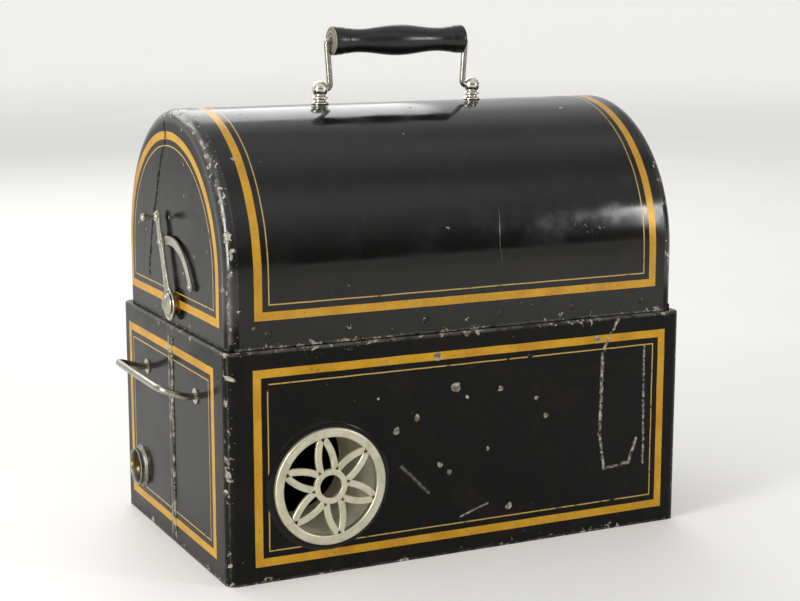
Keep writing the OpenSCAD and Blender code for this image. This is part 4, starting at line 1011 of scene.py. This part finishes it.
# round the arrises of the topmost face of a flat plate
def plate(bm, offset, segments=2):
    top = max(v.co.z for v in bm.verts)
    rims = [e for e in bm.edges if all(abs(v.co.z - top) < 1e-6 for v in e.verts) and len(e.link_faces) == 2
            and abs(e.link_faces[0].normal.dot(e.link_faces[1].normal)) < 0.5]
    bmesh.ops.bevel(bm, geom=rims, affect="EDGES", offset=offset, segments=segments, profile=0.5,
                    material=-1)
    return bm


def disc(radius, thick, centre=(0, 0), low=0.0, segments=48, edge=0.4):
    bm = bmesh.new()
    bmesh.ops.create_cone(bm, cap_ends=True, segments=segments, radius1=radius * mm, radius2=radius * mm,
                          depth=thick * mm)
    move(bm, bm.verts, (centre[0] * mm, centre[1] * mm, (low + thick / 2) * mm))
    return plate(bm, edge * mm)


def leverPiece(side):
    # built flat with the pivot at the centre and the arm along +Y, then stood against the end
    k = latch
    suffix = "left" if side < 0 else "right"
    lever, knob, shaft = (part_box("latch_" + part + "_" + suffix) for part in ("lever", "knob", "shaft"))
    pivotY, pivotZ = (shaft[0].y + shaft[1].y) / 2, (shaft[0].z + shaft[1].z) / 2
    knobMiddle = (knob[0] + knob[1]) / 2
    reach = Vector((knobMiddle.y - pivotY, knobMiddle.z - pivotZ)).length / mm
    thick = k["sheet"]
    inner = min(abs(lever[0].x), abs(lever[1].x)) + 1.5 * mm    # the side of the arm that faces the panel
    eye = k["eye"] / 2
    # the eye: a dished ring; the arm tapers from the eye to the knob
    outline = [(3.6, 0), (eye - 0.4, 0), (eye, 0.4), (eye, thick - 0.4), (eye - 0.4, thick),
               (eye - 1.3, thick), (eye - 1.7, thick - 0.4), (eye - 2.0, thick - 1.3), (3.6, thick - 1.3)]
    bm = ring([(r * mm, z * mm) for r, z in outline])
    arm = bmesh.new()
    wide, narrow = 5.2, k["arm"] / 2 - 0.4
    corners = [(-wide, eye - 3.0), (wide, eye - 3.0), (narrow, eye + 12), (narrow - 0.2, reach),
               (-narrow + 0.2, reach), (-narrow, eye + 12)]
    face = arm.faces.new([arm.verts.new((u * mm, v * mm, 0)) for u, v in corners])
    grown = bmesh.ops.extrude_face_region(arm, geom=[face])
    move(arm, [g for g in grown["geom"] if isinstance(g, bmesh.types.BMVert)], (0, 0, (thick - 0.05) * mm))
    bmesh.ops.recalc_face_normals(arm, faces=arm.faces)
    plate(arm, 0.5 * mm, 3)
    merge(bm, arm)
    merge(bm, disc(k["arm"] / 2 + 0.3, thick, (0, reach), edge=0.5))
    # rivet head over the guide pin, and the pin behind
    merge(bm, domed(2.5, 1.7, (0, 44), thick))
    merge(bm, disc(1.5, 1.6, (0, 49.3), -1.5, 24, 0.1))
    stand = Matrix.Rotation(radians(k["lean"]), 4, "Z")
    turn(bm, stand)
    upright(bm, side, inner, pivotY, pivotZ)
    return place(bm, "latchLever" + suffix.title(), latchNickel, "latch_" + suffix, "nickel",
                 ["latch_lever_" + suffix], sharp=40)


# from flat (u to +Y, v to +Z, height outwards) to standing against one end
def upright(bm, side, x, y, z):
    for v in bm.verts:
        u, w, h = v.co
        v.co = (side * (abs(x) + h), y - u, z + w)
    bmesh.ops.recalc_face_normals(bm, faces=bm.faces)


def domed(radius, high, centre, low):
    ball = (radius ** 2 + high ** 2) / (2 * high)
    spread = acos((ball - high) / ball) * 180 / pi
    outline = [(0, low - 0.3), (radius, low - 0.3)]
    outline += arc((0, low + high - ball), ball, 90 - spread, 90, 8)
    bm = solidTurned([(r * mm, z * mm) for r, z in outline], 32)
    move(bm, bm.verts, (centre[0] * mm, centre[1] * mm, 0))
    return bm


def latchTrim(side):
    suffix = "left" if side < 0 else "right"
    shaft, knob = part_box("latch_shaft_" + suffix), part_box("latch_knob_" + suffix)
    pivotY, pivotZ = (shaft[0].y + shaft[1].y) / 2, (shaft[0].z + shaft[1].z) / 2
    far = max(abs(shaft[0].x), abs(shaft[1].x))
    near = min(abs(shaft[0].x), abs(shaft[1].x))
    # domed head with a turned groove round it, and the shaft that goes through the end
    high = 4.0
    head = [(0, near - far), (3.5 * mm, near - far), (3.5 * mm, -high * mm), (7.4 * mm, -high * mm),
            (7.75 * mm, (-high + 0.5) * mm), (7.4 * mm, (-high + 1.0) * mm),
            (6.9 * mm, (-high + 1.15) * mm)]
    head += [(r * mm, (z - high) * mm) for r, z in arc((0, -5.2), 9.2, 44, 90, 10)]
    bm = solidTurned(head, 48)
    upright(bm, side, far, pivotY, pivotZ)
    place(bm, "latchHead" + suffix.title(), latchNickel, "latch_" + suffix, "nickel",
          ["latch_shaft_" + suffix], sharp=50)
    # finger knob: collar, waisted stem and ball
    middleKnob = (knob[0] + knob[1]) / 2
    near, far = sorted((abs(knob[0].x), abs(knob[1].x)))
    length = (far - near) / mm
    stem = [(0, 0), (1.5, 0), (1.5, 2.6), (3.2, 2.6), (3.2, 3.4), (2.7, 3.9), (1.6, 4.6), (1.45, 6.4),
            (1.8, length - 6.2)]
    stem += arc((0, length - 2.8), 2.8, -50, 90, 12)
    bm = solidTurned([(r * mm, z * mm) for r, z in stem], 32)
    upright(bm, side, near, middleKnob.y, middleKnob.z)
    place(bm, "latchKnob" + suffix.title(), latchNickel, "latch_" + suffix, "nickel",
          ["latch_knob_" + suffix], sharp=50)


print("pieces: end latches")
for side in (-1, 1):
    leverPiece(side)
    latchTrim(side)


# ---- lock seam ----
def lockSeam():
    # a folded seam: a raised flat strip with a step on one side, its arrises rounded
    low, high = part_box("seam_strip")
    bm = bmesh.new()
    for u0, u1, lift in ((low.y, high.y - 2 * mm, 0.9), (low.y + 2.4 * mm, high.y, 0.45)):
        strip = bmesh.new()
        bmesh.ops.create_cube(strip, size=1)
        bmesh.ops.scale(strip, vec=(lift * mm, u1 - u0, high.z - low.z), verts=strip.verts)
        move(strip, strip.verts, (high.x - lift / 2 * mm, (u0 + u1) / 2, (low.z + high.z) / 2))
        rims = [e for e in strip.edges if all(v.co.x < high.x - 0.1 * mm for v in e.verts)]
        bmesh.ops.bevel(strip, geom=rims, affect="EDGES", offset=0.3 * mm, segments=3, profile=0.5,
                        material=-1)
        merge(bm, strip)
    return place(bm, "lockSeam", japanned("blackJapanSeam", seamEdge, baseLining, wear=1.25), "base",
                 "japan", ["seam_strip"])


def seamEdge(w):
    # the two long arrises of the seam are rubbed
    low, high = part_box("seam_strip")
    return w.plus(w.least(w.size(w.less(w.y, low.y / mm)), w.size(w.less(w.y, high.y / mm - 2))), 0.4)


print("pieces: lock seam")
lockSeam()


# ---- finishes of the parts that keep their own shape ----
finishes = {
    japanPlain: ["base_bottom", "lamp_house", "house_cowl"],
    japanRivet: ["cover_rivets"],
    boardWood: ["bed_board"],
    stageWood: ["stage_frame"],
    carrierWood: ["slide_carrier"],
    cream: ["vent_duct"],
    blackMoulding: ["inlet_block"],
    porcelain: ["lamp_socket"],
    winding: ["transformer_coil"],
    ironCore: ["transformer_core"],
    mirrorMetal: ["reflector"],
    lensGlass: ["condenser_lenses", "objective_lenses"],
    bulbGlass: ["lamp_bulb"],
    pictureGlass: ["picture_glass"],
    steelDull: ["board_cleats", "rod_guide", "latch_keepers", "transformer_straps", "lamp_track",
                "lens_pillar", "cover_strips", "latch_hook_left", "latch_hook_right", "post_nuts"],
    latchNickel: ["latch_quadrants", "quadrant_studs", "rod_ferrules"],
    brass: ["board_screws", "rod_stops", "lamp_carriage", "condenser_barrel", "condenser_ring",
            "focus_sleeve", "objective_barrel", "focus_rack", "focus_pinion", "focus_knob",
            "latch_bushes"],
}
for material, names in finishes.items():
    for name in names:
        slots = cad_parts[name].material_slots
        for slot in slots:
            slot.material = material
        if not slots:
            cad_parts[name].data.materials.append(material)
print("finishes: set on", sum(len(names) for names in finishes.values()), "kept parts")


# ---- floor, light and camera ----
def floor():
    bm = bmesh.new()
    bmesh.ops.create_grid(bm, x_segments=8, y_segments=8, size=40)
    mesh = bpy.data.meshes.new("floor")
    bm.to_mesh(mesh)
    bm.free()
    plane = bpy.data.objects.new("floor", mesh)
    bpy.context.scene.collection.objects.link(plane)
    plane.location.z = cadBox[0][2] - 0.0002
    w = Wiring("paleFloor")
    tone = w.blend(w.noise(300, 2), colour(226, 225, 222), colour(232, 231, 228))
    w.plug(w.shader.inputs["Emission Color"], tone)
    path = w.add("ShaderNodeLightPath")
    seen = w.most(path.outputs["Is Camera Ray"], path.outputs["Is Glossy Ray"],
                  path.outputs["Is Transmission Ray"])
    far = w.fade(w.vector("LENGTH", w.place), 1500, 7000)
    w.plug(w.shader.inputs["Emission Strength"], w.times(seen, w.plus(0.08, w.times(far, 0.26))))
    mesh.materials.append(w.finish(tone, 0.6))


def softbox(name, place, aim, size, power):
    light = bpy.data.lights.new(name, "AREA")
    light.shape, light.size, light.size_y = "RECTANGLE", size[0], size[1]
    light.energy = power
    lamp = bpy.data.objects.new(name, light)
    bpy.context.scene.collection.objects.link(lamp)
    lamp.location = place
    lamp.rotation_euler = (Vector(aim) - Vector(place)).to_track_quat("-Z", "Y").to_euler()
    lamp.visible_camera = False


def sky():
    # bright overhead and behind, dim towards the viewer's side, uneven as a room is, white behind the piece
    world = bpy.context.scene.world or bpy.data.worlds.new("studio")
    bpy.context.scene.world = world
    world.use_nodes = True
    tree = world.node_tree
    tree.nodes.clear()
    new, link = tree.nodes.new, tree.links.new
    coords, split = new("ShaderNodeTexCoord"), new("ShaderNodeSeparateXYZ")
    link(coords.outputs["Generated"], split.inputs[0])
    rise, back = new("ShaderNodeMapRange"), new("ShaderNodeMapRange")
    for node, low, high, first, last in ((rise, 0.0, 0.95, 0.10, 1.0), (back, -0.05, 0.55, 0.0, 0.85)):
        node.interpolation_type = "SMOOTHSTEP"
        for name, number in zip(("From Min", "From Max", "To Min", "To Max"), (low, high, first, last)):
            node.inputs[name].default_value = number
    link(split.outputs["Z"], rise.inputs["Value"])
    link(split.outputs["Y"], back.inputs["Value"])
    brighter = new("ShaderNodeMath")
    brighter.operation = "MAXIMUM"
    link(rise.outputs[0], brighter.inputs[0])
    link(back.outputs[0], brighter.inputs[1])
    room, uneven, patchy = new("ShaderNodeTexNoise"), new("ShaderNodeMapRange"), new("ShaderNodeMath")
    room.inputs["Scale"].default_value, room.inputs["Detail"].default_value = 1.7, 1.0
    link(coords.outputs["Generated"], room.inputs["Vector"])
    for name, number in zip(("From Min", "From Max", "To Min", "To Max"), (0.35, 0.65, 0.55, 1.3)):
        uneven.inputs[name].default_value = number
    link(room.outputs[0], uneven.inputs["Value"])
    patchy.operation = "MULTIPLY"
    link(brighter.outputs[0], patchy.inputs[0])
    link(uneven.outputs[0], patchy.inputs[1])
    # polished metal and glass see the white wall too, on the side behind the piece
    path = new("ShaderNodeLightPath")
    mirrored, seen, through, white = (new("ShaderNodeMath") for i in range(4))
    mirrored.operation = "MULTIPLY"
    link(path.outputs["Is Glossy Ray"], mirrored.inputs[0])
    link(back.outputs[0], mirrored.inputs[1])
    for node, first, second in ((seen, path.outputs["Is Camera Ray"], mirrored.outputs[0]),
                                (through, seen.outputs[0], path.outputs["Is Transmission Ray"]),
                                (white, through.outputs[0], patchy.outputs[0])):
        node.operation = "MAXIMUM"
        link(first, node.inputs[0])
        link(second, node.inputs[1])
    background, output = new("ShaderNodeBackground"), new("ShaderNodeOutputWorld")
    background.inputs["Color"].default_value = (1, 1, 1, 1)
    link(white.outputs[0], background.inputs["Strength"])
    link(background.outputs[0], output.inputs["Surface"])


view = dict(lens=78.38, sensor=36, place=(-0.54945, -1.13297, 0.38962), yaw=25.96, pitch=10.36)


def camera():
    lens = bpy.data.cameras.new("view")
    lens.lens, lens.sensor_width = view["lens"], view["sensor"]
    eye = bpy.data.objects.new("view", lens)
    bpy.context.scene.collection.objects.link(eye)
    eye.location = view["place"]
    eye.rotation_euler = (radians(90 - view["pitch"]), 0, -radians(view["yaw"]))
    bpy.context.scene.camera = eye


floor()
sky()
softbox("leftSoftbox", (-1.35, -0.50, 0.66), (-0.17, -0.1, 0.40), (0.45, 1.0), 16)
softbox("rightSoftbox", (0.93, -1.11, 0.57), (0.1, 0, 0.2), (0.05, 0.30), 4)
softbox("backSoftbox", (-0.1, 1.9, 1.5), (0, 0, 0.2), (2.6, 1.3), 22)
camera()
bpy.context.scene.view_settings.view_transform = "Standard"
print("stage, light and camera set")
